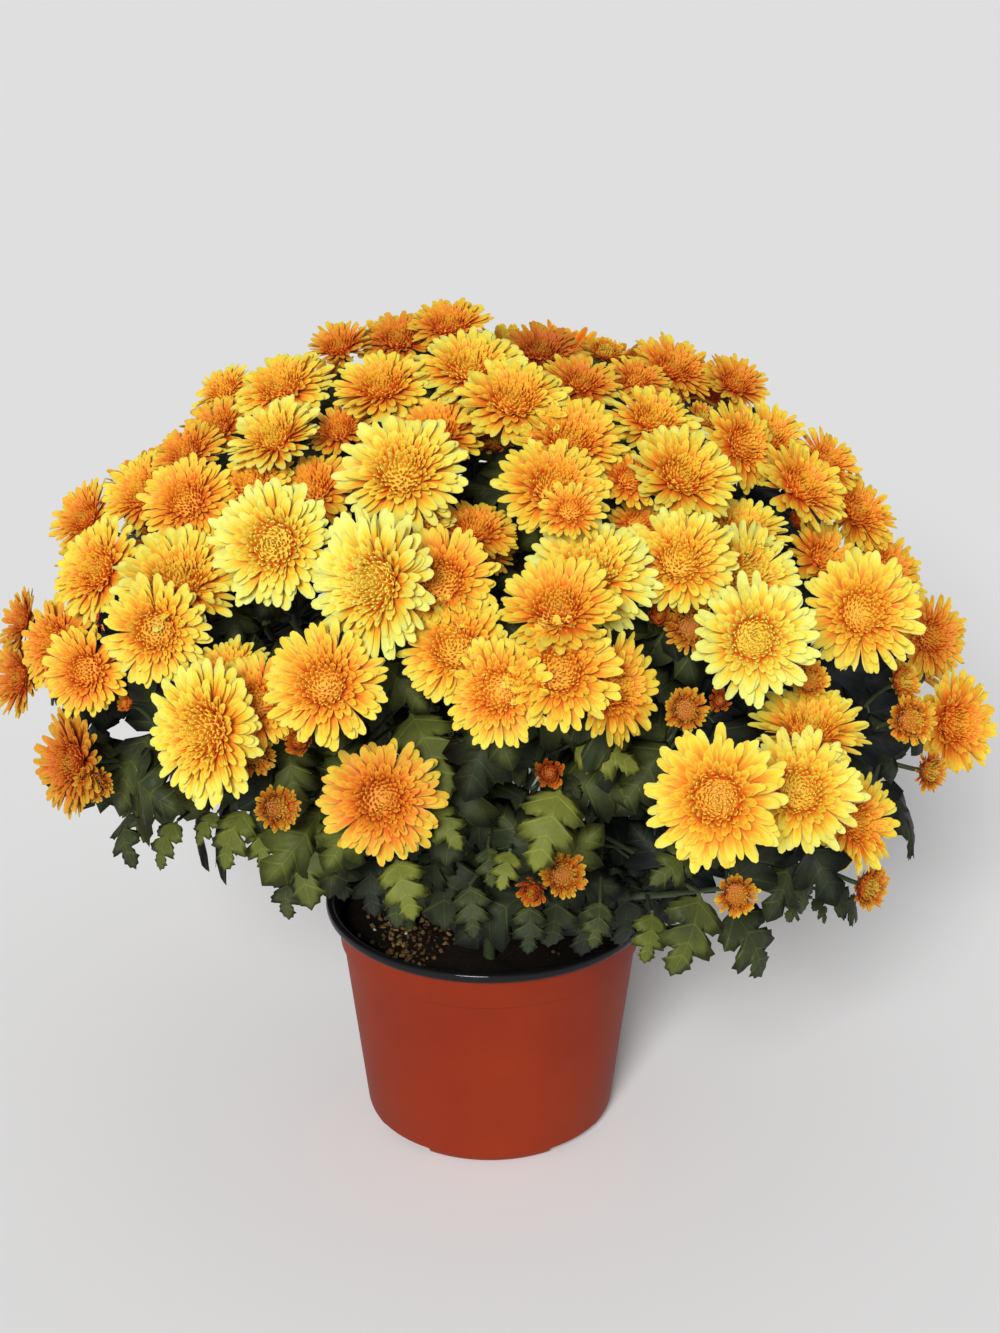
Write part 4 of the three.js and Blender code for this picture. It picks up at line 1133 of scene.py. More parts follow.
# %% Leaf blanks
# across, along, and where on the midrib the vein to it starts
LEAF_OUTLINE = [
    (0, 0, 0), (0.07, 0.03, 0.02), (0.16, 0.07, 0.05), (0.40, 0.08, 0.07), (0.62, 0.12, 0.09),
    (0.74, 0.18, 0.105), (0.92, 0.23, 0.12), (0.87, 0.28, 0.13), (1.0, 0.34, 0.14), (0.80, 0.375, 0.16),
    (0.72, 0.42, 0.18), (0.52, 0.405, 0.21), (0.34, 0.415, 0.27), (0.50, 0.455, 0.31), (0.74, 0.485, 0.33),
    (0.76, 0.54, 0.345), (0.95, 0.59, 0.36), (0.83, 0.64, 0.38), (0.88, 0.69, 0.40), (0.66, 0.70, 0.44),
    (0.46, 0.695, 0.49), (0.30, 0.70, 0.55), (0.42, 0.755, 0.60), (0.38, 0.80, 0.64), (0.50, 0.845, 0.68),
    (0.32, 0.88, 0.76), (0.28, 0.935, 0.84), (0.12, 0.95, 0.91), (0, 1, 1),
]
SMALL_LEAF_OUTLINE = [
    (0, 0, 0), (0.3, 0.08, 0.06), (0.8, 0.17, 0.11), (1.0, 0.33, 0.14), (0.74, 0.41, 0.18),
    (0.36, 0.415, 0.27), (0.78, 0.5, 0.34), (0.92, 0.66, 0.39), (0.64, 0.70, 0.45), (0.32, 0.70, 0.55),
    (0.48, 0.83, 0.67), (0.3, 0.91, 0.8), (0, 1, 1),
]
# heights at the midrib, half way out and at the edge, on the face and underneath
LEAF_FACE, LEAF_BACK = (-0.03, 0.03, 0), (-0.1, -0.01, 0)
SAME_PLACE = 1e-5


def leaf_blank(name, outline, columns):
    """A closed lobed blade, one unit long and one half-width each way."""
    work = bmesh.new()
    is_back = work.faces.layers.float.new("back")
    last = len(outline) - 1
    for heights, back in ((LEAF_FACE, 0.0), (LEAF_BACK, 1.0)):
        for mirror in (1, -1):
            rows = []
            for number, (across, along, vein) in enumerate(outline):
                full = math.sin(math.pi * number / last) ** 0.5
                rows.append([
                    work.verts.new((
                        mirror * across * share,
                        vein + (along - vein) * share,
                        np.interp(share, (0, 0.5, 1), heights) * full,
                    ))
                    for share in np.linspace(0, 1, columns + 1)
                ])
            for low, high in zip(rows, rows[1:]):
                for k in range(columns):
                    face = work.faces.new((low[k], low[k + 1], high[k + 1], high[k]))
                    face[is_back] = back
    bmesh.ops.remove_doubles(work, verts=work.verts, dist=SAME_PLACE)
    bmesh.ops.dissolve_degenerate(work, edges=work.edges, dist=SAME_PLACE)
    bmesh.ops.recalc_face_normals(work, faces=work.faces)
    return new_object(name, mesh_of(name, work), hide=True)


leaf = leaf_blank("leaf_blank", LEAF_OUTLINE, 2)
small_leaf = leaf_blank("small_leaf_blank", SMALL_LEAF_OUTLINE, 1)
print("faces of a leaf:", len(leaf.data.polygons), "and of a small one:", len(small_leaf.data.polygons))

# %% [markdown]
# A second tree sets the blanks out as leaves. Each point carries its leaf's root, the way it grows, the way
# it faces and its size. The tree bends every blank with the same arch as the frame's leaves, and adds
# what a coarse leaf leaves out: rippled edges and a tip that hangs or curls.

# %% Tree: leaves
LEAF_ARCH, LEAF_DROOP = 0.16, 0.35
LEAF_WIDTH = 0.39
RIPPLE, RIPPLE_RATE = 0.035, 17
TIP_CURL = 0.1
LEAF_VECTORS = ("root", "forward", "sideways", "normal")
LEAF_NUMBERS = ("long", "phase", "curling")


def vector_math(tree, operation, first, second):
    """Scales a vector by a number, or adds two vectors."""
    node = add_node(tree, "ShaderNodeVectorMath", operation=operation)
    feed(tree, node.inputs[0], first)
    feed(tree, node.inputs["Scale" if operation == "SCALE" else 1], second)
    return node.outputs[0]


def vector_of(tree, name):
    node = add_node(tree, "GeometryNodeInputNamedAttribute", {"Name": name}, data_type="FLOAT_VECTOR")
    return node.outputs[0]


def leaf_tree(finish):
    tree, given = new_tree("leaves", [("Leaf", "NodeSocketObject", None)])
    copies = copies_of(tree, given.outputs["Geometry"], given.outputs["Leaf"])
    geometry, across, along, lift = bendable(tree, copies)
    long, phase, curling = (stored(tree, name) for name in LEAF_NUMBERS)
    arch = ((along * math.pi).sin() - across.absolute() * LEAF_DROOP) * LEAF_ARCH
    ripple = (along * RIPPLE_RATE + phase).sin() * across * across * RIPPLE
    tip = along * along * along * curling * TIP_CURL
    height = (arch + ripple - tip + lift * LEAF_WIDTH) * long
    place = vector_of(tree, "root")
    sizes = {"forward": along * long, "sideways": across * long * LEAF_WIDTH, "normal": height}
    for name, size in sizes.items():
        place = vector_math(tree, "ADD", place, vector_math(tree, "SCALE", vector_of(tree, name), size))
    finish_tree(tree, bent(tree, geometry, place, (*LEAF_VECTORS, *LEAF_NUMBERS)), finish)
    return tree


leaves_tree = leaf_tree(leaf_finish)

# %% [markdown]
# Leaves differ in how light they are, and most of that is painted light and shade. Those at the plant's front
# and edge are painted pale, as if well lit, and those deep in the plant, high under the blooms or far round
# the sides are painted dark, as if in shade. The shade of a leaf is a sum of curves over its place and a
# random part, and a few front leaves get a painted highlight that makes them paler still.

# %% Leaves of a cutting
# each curve of painted light and shade is a row of places in mm, and the shade at each
PAINTED_DEPTH_SHADE = ((142, 172, 190), (-1.3, 1.2, 0.5))  # painted shade by the distance from the dome's centre: dark deep inside, pale further out
# painted shade under the blooms, by the height
PAINTED_UNDER_BLOOM_SHADE = ((210, 238), (0, -1.2))
# painted shade round the sides, by the distance across
PAINTED_SIDE_SHADE = ((-130, -70, 50, 110), (-1, 0.4, 0.4, -1.8))
CHANCE_SHADE = 1.4
PAINTED_LIT_LEAVES = {16: 0.9, 17: 1.4, 18: 1.1, 4: 0.5, 6: 0.5, 21: 0.5}  # painted highlight on a few leaves of the front, by number in their list
CURLING = (-0.7, 1.3)


def leaf_tone_and_painted_light(middle, seed):
    # a random part of the leaf's own tone, a painted highlight on a few lit leaves, and painted shade by
    # depth, height and side
    shade = CHANCE_SHADE * (draw(seed, "shade") - 0.5) + PAINTED_LIT_LEAVES.get(seed, 0)
    places = (np.linalg.norm(middle - DOME_CENTRE), middle[2], middle[0])
    for place, curve in zip(places, (PAINTED_DEPTH_SHADE, PAINTED_UNDER_BLOOM_SHADE, PAINTED_SIDE_SHADE)):
        shade += np.interp(place, *curve)
    return shade


def grow_leaves(leaves, blank):
    """A mesh of leaves from (root, tip, facing, seed), in mm."""
    rows = {name: [] for name in (*LEAF_VECTORS, *LEAF_NUMBERS, "shade")}
    for root, tip, facing, seed in leaves:
        forward = unit(tip - root)
        normal = unit(facing - forward * (facing @ forward))
        rows["root"].append(root * MM)
        rows["forward"].append(forward)
        rows["sideways"].append(np.cross(forward, normal))
        rows["normal"].append(normal)
        rows["long"].append(np.linalg.norm(tip - root) * MM)
        rows["phase"].append(2 * math.pi * draw(seed, "ripple"))
        rows["curling"].append(between(*CURLING, draw(seed, "curling")))
        rows["shade"].append(leaf_tone_and_painted_light((root + tip) / 2, seed))
    mesh = mesh_from("leaf_points", [(0, 0, 0)] * len(leaves))
    for name, values in rows.items():
        kind = "FLOAT_VECTOR" if name in LEAF_VECTORS else "FLOAT"
        field = "vector" if name in LEAF_VECTORS else "value"
        attribute = mesh.attributes.new(name, kind, "POINT")
        attribute.data.foreach_set(field, np.array(values, np.float32).ravel())
    return grow_with(leaves_tree, mesh, {"Leaf": blank})

# %% [markdown]
# ## Where the leaves are
# The leaves of the front are listed by where they show, root and tip, with their distance from the dome's
# centre. The others stand in rings, by rule. In the frame, a leaf without room was tried again closer
# in, and left out where it found none. So a leaf is there if its plant has a corner at the leaf's tip,
# and its stalk runs to the spot on a stem from which the frame's own petiole comes. Two more lists add
# what the coarse plant has no room for: dark leaves that hang inside the skirt, and rings of small ones
# further in. One of these that would cut into a head is left out.

# %% Leaf places
FRONT_LEAVES = [
    (112, 700, 104, 755, 188), (128, 752, 120, 786, 180), (130, 812, 131, 868, 178),
    (178, 820, 160, 871, 180), (246, 808, 225, 872, 182), (262, 820, 268, 873, 176),
    (300, 812, 314, 911, 182), (292, 868, 286, 920, 165), (396, 858, 414, 922, 178),
    (430, 806, 462, 850, 172), (316, 762, 306, 796, 170), (410, 712, 450, 798, 172),
    (405, 676, 392, 706, 170), (492, 740, 470, 778, 172), (470, 884, 474, 940, 150),
    (488, 846, 492, 888, 158), (545, 750, 486, 780, 178), (572, 744, 641, 772, 182),
    (560, 788, 534, 873, 182), (562, 770, 580, 800, 172), (486, 800, 470, 846, 166),
    (510, 850, 500, 892, 168), (530, 904, 528, 955, 150), (578, 864, 632, 900, 172),
    (600, 900, 592, 950, 158), (652, 912, 643, 964, 172), (700, 893, 671, 977, 186),
    (728, 905, 759, 977, 184), (790, 864, 806, 914, 182), (884, 798, 915, 856, 188),
    (832, 896, 858, 920, 182), (812, 898, 826, 924, 176), (792, 898, 786, 922, 178),
    (700, 690, 652, 682, 172), (716, 716, 758, 738, 172), (690, 852, 652, 884, 172),
    (815, 700, 862, 708, 178), (850, 700, 884, 758, 178), (872, 742, 892, 780, 182),
    (672, 730, 712, 744, 160), (290, 606, 262, 626, 176), (218, 812, 196, 846, 172),
]
# leaves that hang inside the skirt, over the compost, which the painted depth shade makes dark
INNER_LEAVES = [
    (340, 842, 346, 902, 134), (372, 852, 376, 918, 128), (404, 862, 396, 930, 122),
    (432, 858, 438, 926, 124), (462, 862, 458, 930, 118), (496, 868, 500, 932, 124),
    (526, 862, 520, 936, 120), (556, 876, 550, 950, 122), (586, 880, 580, 956, 118),
    (616, 872, 624, 948, 122), (648, 872, 642, 942, 120), (680, 862, 672, 928, 126),
    (600, 858, 606, 914, 132), (446, 848, 420, 900, 132), (512, 850, 540, 900, 132),
    (640, 850, 664, 900, 132),
]
# count, latitude, distance from the dome's centre, length, first and last longitude
RING_LEAVES = [
    (9, 28, 160, 42, -148, -32), (10, 18, 150, 42, -152, -28), (9, 16, 136, 40, -140, -30),
    (9, 14, 182, 50, 14, 172), (9, 3, 170, 48, 20, 176), (7, 26, 172, 42, 14, 170),
    (5, 42, 165, 38, -170, 150),
]
# plain leaves further in, all round but in front, where the plant would else be seen through
COVER_LEAVES = [
    (7, 76, 168, 38, -180, 180), (12, 62, 164, 38, -180, 180), (16, 47, 154, 40, -30, 210),
    (17, 32, 146, 42, -30, 210), (17, 20, 138, 44, -30, 210), (15, 9, 130, 44, -20, 200),
    (13, -2, 124, 40, -10, 190), (9, 26, 108, 40, -10, 190), (9, 8, 100, 40, -10, 190),
]
RING = {"scatter": 10, "swing": 0.2, "root_up": 6, "root_in": 12}
INSET_STEP, INSET_TRIES = 7, 7
SPOT_SHARES = (0.15, 0.3, 0.45, 0.6, 0.75, 0.9)
LEAST_FORWARDS = 0.2
FACE_UP = 0.5
CORNER_MISS = 0.4
PETIOLE_MISS = 1.2
PETIOLE_RADII = (1.0, 0.7)
# the room of a head's petals, in its radii: from and to which height, how wide, and where leaves are tested
HEAD_ROOM = {"low": 0.2, "high": 1.3, "wide": 1.25, "shares": (0.4, 0.7, 1)}


def at_angles(latitude, longitude, radius):
    level = math.cos(latitude)
    outward = np.array((level * math.cos(longitude), level * math.sin(longitude), math.sin(latitude)))
    return DOME_CENTRE + outward * radius


def front_leaf(row, inset):
    root_across, root_down, tip_across, tip_down, shell = row
    root = on_shell(root_across, root_down, shell - INSET_STEP - inset)
    return root, on_shell(tip_across, tip_down, shell - inset)


def ring_leaf(ring, number, k, inset):
    count, latitude, shell, length, first, last = ring
    longitude = math.radians(first + (last - first) * (k + 0.5 * draw(k, "longitude", number)) / count)
    latitude = math.radians(latitude + RING["scatter"] * (draw(k, "latitude", number) - 0.5))
    swing = RING["swing"] * (draw(k, "swing", number) - 0.5)
    root = at_angles(latitude + math.radians(RING["root_up"]), longitude, shell - RING["root_in"] - inset)
    return root, at_angles(latitude - length / shell, longitude + swing, shell - inset)


def through_a_head(root, tip):
    """Whether a small leaf would cut into the petals of a head or lie on them."""
    for head in heads:
        for share in HEAD_ROOM["shares"]:
            away = between(root, tip, share) - head["stalk_end"]
            height = away @ head["facing"] / head["radius"]
            near = np.linalg.norm(away) < HEAD_ROOM["wide"] * head["radius"]
            if near and HEAD_ROOM["low"] < height < HEAD_ROOM["high"]:
                return True
    return False


def surface_of(node):
    """What tells how far a point is from a node's corners and from its faces."""
    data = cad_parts[node].data
    corners = KDTree(len(data.vertices))
    for vertex in data.vertices:
        corners.insert(vertex.co, vertex.index)
    corners.balance()
    faces = BVHTree.FromPolygons([v.co for v in data.vertices], [tuple(p.vertices) for p in data.polygons])
    return corners, faces


def petiole_spot(plant, root, tip):
    """The spot on a stem whose way to the root lies along the frame's petiole, or else the nearest."""
    forward = unit(tip - root)
    spots = [between(start, end, share) for start, end in plant["spots"] for share in SPOT_SHARES]
    spots = [spot for spot in spots if np.linalg.norm(root - spot) > INSET_STEP]
    spots = [spot for spot in spots if unit(root - spot) @ forward > LEAST_FORWARDS] or spots
    spots.sort(key=lambda spot: np.linalg.norm(root - spot))
    for spot in spots:
        halfway = Vector(between(spot, root, 0.5) * MM)
        if plant["faces"].find_nearest(halfway)[3] < PETIOLE_MISS * MM:
            return spot
    return spots[0]


def add_leaf(plant, layer, root, tip, seed):
    middle = (root + tip) / 2
    plant[layer].append((root, tip, unit(middle - DOME_CENTRE) + UP * FACE_UP, seed))
    plant["lines"].append((np.array([petiole_spot(plant, root, tip), root]), PETIOLE_RADII))


for number, plant in enumerate(plants):
    plant["node"] = f"leafy_stems_{number + 1}"
    plant["corners"], plant["faces"] = surface_of(plant["node"])

places = [(front_leaf, (row,)) for row in FRONT_LEAVES]
for number, ring in enumerate(RING_LEAVES):
    places += [(ring_leaf, (ring, number, k)) for k in range(ring[0])]
for seed, (leaf_at, row) in enumerate(places):
    for attempt in range(INSET_TRIES):
        root, tip = leaf_at(*row, attempt * INSET_STEP)
        plant = plants[sector_of((root + tip) / 2)]
        if plant["corners"].find(Vector(tip * MM))[2] <= CORNER_MISS * MM:
            add_leaf(plant, "leaves", root, tip, seed)
            break

further_in = [("leaves", *front_leaf(row, 0)) for row in INNER_LEAVES]
for number, ring in enumerate(COVER_LEAVES, len(RING_LEAVES)):
    further_in += [("small_leaves", *ring_leaf(ring, number, k, 0)) for k in range(ring[0])]
for seed, (layer, root, tip) in enumerate(further_in, len(places)):
    if not through_a_head(root, tip):
        add_leaf(plants[sector_of((root + tip) / 2)], layer, root, tip, seed)
print("leaves per cutting:", [len(plant["leaves"]) for plant in plants])

# %% [markdown]
# Between these leaves and under the blooms the plant has many small ones, which close the view into it.
# They follow a rule: two on each side stem, and three on each stalk, turned by the golden angle, below
# the bloom. Here too, one that would cut into a head is left out, or one that would hang too low.

# %% Small leaves
# where along the stem, how long the leaf and its petiole are, how far it leans with the stem or upwards
SIDE_STEM_LEAVES = {
    "places": (0.45, 0.85), "length": (26, 34), "petiole": 8, "radii": (0.9, 0.6),
    "spread": 0.9, "lean": 0.2,
}
STALK_LEAVES = {"places": (3, 5, 7), "length": (28, 42), "petiole": 4, "radii": (0.8, 0.5), "lean": 0.05}
LOWEST_SMALL_TIP = 160
FIRST_SMALL_SEED = 1001


def add_small_leaf(plant, rule, seed, spot, way, facing):
    root = spot + way * rule["petiole"]
    tip = root + way * between(*rule["length"], draw(seed, "small_leaf"))
    if tip[2] >= LOWEST_SMALL_TIP and not through_a_head(root, tip):
        plant["small_leaves"].append((root, tip, facing, seed))
        plant["lines"].append((np.array([spot, root]), rule["radii"]))


seeds = itertools.count(FIRST_SMALL_SEED)
for plant in plants:
    for joint, hub, spray in plant["laterals"]:
        onwards = unit(hub - joint)
        side = unit(np.cross(onwards, UP)) * SIDE_STEM_LEAVES["spread"]
        for share, mirror in zip(SIDE_STEM_LEAVES["places"], (1, -1)):
            way = unit(onwards + side * mirror + UP * SIDE_STEM_LEAVES["lean"])
            facing = unit(hub - DOME_CENTRE) + UP
            add_small_leaf(plant, SIDE_STEM_LEAVES, next(seeds), between(joint, hub, share), way, facing)
        for head in spray:
            facing = head["facing"]
            across = unit(np.cross(facing, onwards))
            upwards = np.cross(across, facing)
            for point in STALK_LEAVES["places"]:
                seed = next(seeds)
                angle = GOLDEN_ANGLE * seed
                way = across * math.cos(angle) + upwards * math.sin(angle) + facing * STALK_LEAVES["lean"]
                add_small_leaf(plant, STALK_LEAVES, seed, head["stalk"][point], unit(way), facing)
print("small leaves:", sum(len(plant["small_leaves"]) for plant in plants))

# %% Five leafy stems
for plant in plants:
    meshes = [grow_stems(plant["lines"]), grow_leaves(plant["leaves"], leaf)]
    meshes.append(grow_leaves(plant["small_leaves"], small_leaf))
    piece = join_pieces(plant["node"].replace("leafy_stems", "stems_and_leaves"), meshes)
    take_place(piece, plant["node"])
    print(piece.name, "has", len(piece.data.polygons), "faces")

# %% [markdown]
# ## Pot
# The pot is thin plastic, formed in two layers: terracotta outside and black inside, with the black layer
# rolled over the rim. Its wall is one profile turned round the axis, with arcs where the frame has a
# straight chamfer. Four notches in the foot and a drain hole in each come out with a Boolean, which keeps
# the wall's finish on the wall.

# %% Pot profile
POT = {
    "height": 110, "lip": 75, "wall_foot": 58, "collar": 71, "foot": 50, "thickness": 1.6, "step": 1.2,
    "shoulder": 90, "shoulder_foot": 88, "corner": 6, "lip_foot": 105,
}
WALL_LEVELS = (30, 60)
POT_FLOOR = [(6.4, 43), (1.6, 42)]  # height and radius of the raised edge of the floor, inside
# the rolled rim: the heights at which its side ends and its top begins to turn, and the radii of the top
RIM = {"side": (107.2, 108.2), "top": (73.4, 73.0), "inner": 71.2}
EASE = {"foot": (0.4, 0.2), "shoulder": 0.6, "under_lip": (0.05, 0.9)}  # what rounds the corners more
ARC_POINTS = {"foot": 8, "shoulder": 4, "rim": (5, 5, 6)}
POT_SIDES = 96
NOTCH = {"count": 4, "start": 45, "width": 32, "low": -5, "height": 4.5, "near": 46, "far": 66, "points": 9}
DRAIN = {"radius": 3, "distance": 51, "low": 2, "high": 12, "sides": 16}


def wall_radius(height, inside=0):
    taper = (POT["collar"] - POT["wall_foot"]) / POT["height"]
    step = POT["step"] if height < POT["shoulder"] else 0
    return POT["wall_foot"] + taper * height - step - inside


def arc(start, corner, end, count):
    """Points from start to end round a corner, both ends included."""
    start, corner, end = (np.array(point, float) for point in (start, corner, end))
    handles = ((start + 2 * corner) / 3, (end + 2 * corner) / 3)
    return [tuple(point) for point in smooth_way(start, *handles, end, count)]


def pot_profile():
    """The profile from the axis under the floor, up the outside, over the rim and down the inside."""
    low, high, lip, top = POT["shoulder_foot"], POT["shoulder"], POT["lip_foot"], POT["height"]
    corner = POT["corner"]
    pull_in, pull_up = EASE["foot"]
    foot_corner = (wall_radius(0) - pull_in, pull_up)
    outside = [(0, 0)]
    outside += arc((POT["foot"], 0), foot_corner, (wall_radius(corner), corner), ARC_POINTS["foot"])
    outside += [(wall_radius(level), level) for level in WALL_LEVELS]
    below, above = (wall_radius(low), low), (wall_radius(high), high)
    outside += arc(below, (below[0], high - EASE["shoulder"]), above, ARC_POINTS["shoulder"])
    outside += [(wall_radius(lip) - EASE["under_lip"][0], lip - EASE["under_lip"][1])]
    turns = [
        ((wall_radius(lip), lip), (POT["lip"], lip), (POT["lip"], RIM["side"][0])),
        ((POT["lip"], RIM["side"][1]), (POT["lip"], top), (RIM["top"][0], top)),
        ((RIM["top"][1], top), (RIM["inner"], top), (wall_radius(lip, POT["thickness"]), lip)),
    ]
    rim = [point for turn, count in zip(turns, ARC_POINTS["rim"]) for point in arc(*turn, count)]
    levels = (high, low, *WALL_LEVELS[::-1], POT_FLOOR[0][0])
    inside = [(wall_radius(level, POT["thickness"]), level) for level in levels]
    inside += [(radius, level) for level, radius in POT_FLOOR] + [(0, POT_FLOOR[-1][0])]
    return outside, rim + inside


def cutter(name, points, low, high):
    """A prism over an outline, to cut with."""
    count = len(points)
    corners = [(x * MM, y * MM, level * MM) for level in (low, high) for x, y in points]
    faces = [tuple(range(count))[::-1], tuple(range(count, 2 * count))]
    faces += [(k, (k + 1) % count, count + (k + 1) % count, count + k) for k in range(count)]
    mesh = mesh_from(name, corners, faces=faces)
    turn_outwards(mesh)
    return mesh


def round_outline(x, y, radius, sides):
    turns = [2 * math.pi * k / sides for k in range(sides)]
    return [(x + radius * math.cos(turn), y + radius * math.sin(turn)) for turn in turns]


def notch_outline(middle):
    half = math.radians(NOTCH["width"] / 2)
    outline = [(NOTCH["far"], turn) for turn in np.linspace(-half, half, NOTCH["points"])]
    outline += [(NOTCH["near"], turn) for turn in np.linspace(half, -half, NOTCH["points"])]
    return [(radius * math.cos(middle + turn), radius * math.sin(middle + turn)) for radius, turn in outline]


# %% Pot materials
COAT_ROUGHNESS = 0.04
CLOUDS, PLASTIC_GRAIN, GRAIN_SHARE = (14, 3), (1400, 2), 0.2
PLASTIC_BUMP = (0.15, 0.0002)


def plastic(name, colours, roughness, gloss, coat):
    numbers = {"Roughness": roughness, "Specular IOR Level": gloss}
    numbers |= {"Coat Weight": coat, "Coat Roughness": COAT_ROUGHNESS}
    material, tree, shader = new_material(name, numbers)
    grain = noise(tree, *PLASTIC_GRAIN)
    light = between(noise(tree, *CLOUDS), grain, GRAIN_SHARE)
    feed(tree, shader.inputs["Base Color"], ramp(tree, light, colours))
    bump(tree, shader, grain, *PLASTIC_BUMP)
    return material


terracotta = plastic("terracotta", [(0.3, 0.20, 0.016, 0.0025), (0.7, 0.27, 0.027, 0.004)], 0.55, 0.18, 0)
black = plastic("black_plastic", [(0.3, 0.004, 0.004, 0.005), (0.7, 0.008, 0.008, 0.010)], 0.5, 0.04, 0.4)

# %% Pot body
TERRACOTTA, BLACK = 0, 1
SHARP_EDGE = math.radians(38)

outside, rest = pot_profile()
pot_mesh = lathe("pot", [(radius * MM, level * MM) for radius, level in outside + rest], POT_SIDES)
rest_start = len(outside) - 1
for finish in (terracotta, black):
    pot_mesh.materials.append(finish)
for face in pot_mesh.polygons:
    face.material_index = BLACK if face.index // POT_SIDES >= rest_start else TERRACOTTA
cutters = []
for k in range(NOTCH["count"]):
    middle = math.radians(NOTCH["start"] + 360 * k / NOTCH["count"])
    cutters.append(cutter("notch", notch_outline(middle), NOTCH["low"], NOTCH["height"]))
    centre = [DRAIN["distance"] * part for part in (math.cos(middle), math.sin(middle))]
    drain = round_outline(*centre, DRAIN["radius"], DRAIN["sides"])
    cutters.append(cutter("drain", drain, DRAIN["low"], DRAIN["high"]))
pot_host = new_object("pot_host", pot_mesh)
for mesh in cutters:
    cut = pot_host.modifiers.new("cut", "BOOLEAN")
    cut.operation = "DIFFERENCE"
    cut.solver = "EXACT"
    cut.object = new_object(mesh.name, mesh)
cut_mesh = grown(pot_host)
for cut in pot_host.modifiers:
    bpy.data.objects.remove(cut.object)
bpy.data.objects.remove(pot_host)
cut_mesh.shade_smooth()
cut_mesh.set_sharp_from_angle(angle=SHARP_EDGE)
pot = new_object("pot_body", cut_mesh)
take_place(pot, "pot")
print("faces of the pot:", len(cut_mesh.polygons))

# %% [markdown]
# ## Growing medium
# The compost is dark peat with bark chips and grains of perlite. Its body has an uneven top, and the loose
# bits are scattered over the top by a node tree, on points that a density sets. Each bit is turned and
# sized by random numbers, and a bigger chip of bark is paler.

# %% Compost body
SOIL = {
    "top": 97, "crown": 2, "brim": 4, "edge": 66.2, "foot": 55.6,
    "low": 6.8, "floor": 42, "corner": 1, "base": 2,
}
SOIL_SIDES, SOIL_RINGS = 72, 22
LUMPS = [(0.055, 2.2), (0.16, 1.1), (0.5, 0.5)]  # frequency per mm, height in mm
EDGE_LUMPS, EDGE_WIDTH = 0.2, 0.5  # the outermost ring stays nearly level
TOP_SLACK, TOP_DEPTH = 0.01, 3  # how far below the top a point, or a face's middle, still counts as the top


def lump_height(x, y):
    return sum(lumps.noise(Vector((x * rate, y * rate, rate))) * height for rate, height in LUMPS)


def soil_mesh():
    profile = [
        (0, SOIL["base"]),
        (SOIL["floor"], SOIL["base"]),
        (SOIL["floor"] + SOIL["corner"], SOIL["low"]),
        (SOIL["foot"], SOIL["low"]),
        (SOIL["edge"], SOIL["top"] - SOIL["brim"]),
    ]
    for ring in range(SOIL_RINGS, -1, -1):
        share = ring / SOIL_RINGS
        profile.append((SOIL["edge"] * share, SOIL["top"] + SOIL["crown"] * (1 - share)))
    mesh = lathe("soil", profile, SOIL_SIDES)
    for vertex in mesh.vertices:
        x, y, z = vertex.co
        if z >= SOIL["top"] - TOP_SLACK:
            inside = math.hypot(x, y) < SOIL["edge"] - EDGE_WIDTH
            vertex.co.z = z + lump_height(x, y) * (1 if inside else EDGE_LUMPS)
    is_top = [float(face.center.z > SOIL["top"] - TOP_DEPTH) for face in mesh.polygons]
    number_mesh(mesh, "top", "FACE", is_top)
    mesh.transform(Matrix.Scale(MM, 4))
    return mesh


soil_body = soil_mesh()
print("faces of the plain compost:", len(soil_body.polygons))

# %% Compost material
PEAT, BARK, PERLITE = 0, 1, 2
PEAT_RAMP = [(0.3, 0.002, 0.0016, 0.001), (0.75, 0.018, 0.011, 0.006)]
BARK_RAMP = [(0.1, 0.014, 0.008, 0.004), (0.5, 0.075, 0.04, 0.015), (0.9, 0.26, 0.16, 0.06)]
PERLITE_RAMP = [(0.2, 0.42, 0.38, 0.33), (0.8, 0.75, 0.72, 0.66)]
BARK_TONE = {"shade": 0.8, "grain": 0.4}
CRUMBS, BARK_GRAIN = (900, 4), (90, 3)
COMPOST_BUMP = (0.8, 0.0008)


def soil_material():
    material, tree, shader = new_material("compost", {"Roughness": 0.9, "Specular IOR Level": 0.15})
    kind = number_of(tree, "kind")
    crumbs = noise(tree, *CRUMBS)
    bark_tone = number_of(tree, "shade") * BARK_TONE["shade"] + noise(tree, *BARK_GRAIN) * BARK_TONE["grain"]
    colour = ramp(tree, crumbs, PEAT_RAMP)
    for number, tone, stops in ((BARK, bark_tone, BARK_RAMP), (PERLITE, crumbs, PERLITE_RAMP)):
        colour = mixed(tree, kind.is_over(number - 0.5), colour, ramp(tree, tone, stops))
    feed(tree, shader.inputs["Base Color"], colour)
    bump(tree, shader, crumbs, *COMPOST_BUMP)
    return material


soil_finish = soil_material()

# %% Bark and perlite
BIT_SIZES = (0.45, 1.25)
CHIP_UNEVEN = (0.75, 1.25)
CLUMP_SCALE = 18
CLUMP_EDGE = 8  # how sharply the patches of bits end
TURN_SEED, SIZE_SEED = 2, 4


def chip_blank(name, size, roundness):
    """A small closed bit: a box, or a ball when it is round."""
    work = bmesh.new()
    if roundness:
        bmesh.ops.create_icosphere(work, subdivisions=1, radius=0.5)
    else:
        bmesh.ops.create_cube(work, size=1)
    for number, vertex in enumerate(work.verts):
        shrink = between(*CHIP_UNEVEN, draw(number, "chip"))
        vertex.co = Vector([part * length for part, length in zip(vertex.co, size)]) * shrink * MM
    return new_object(name, mesh_of(name, work, smooth=False), hide=True)


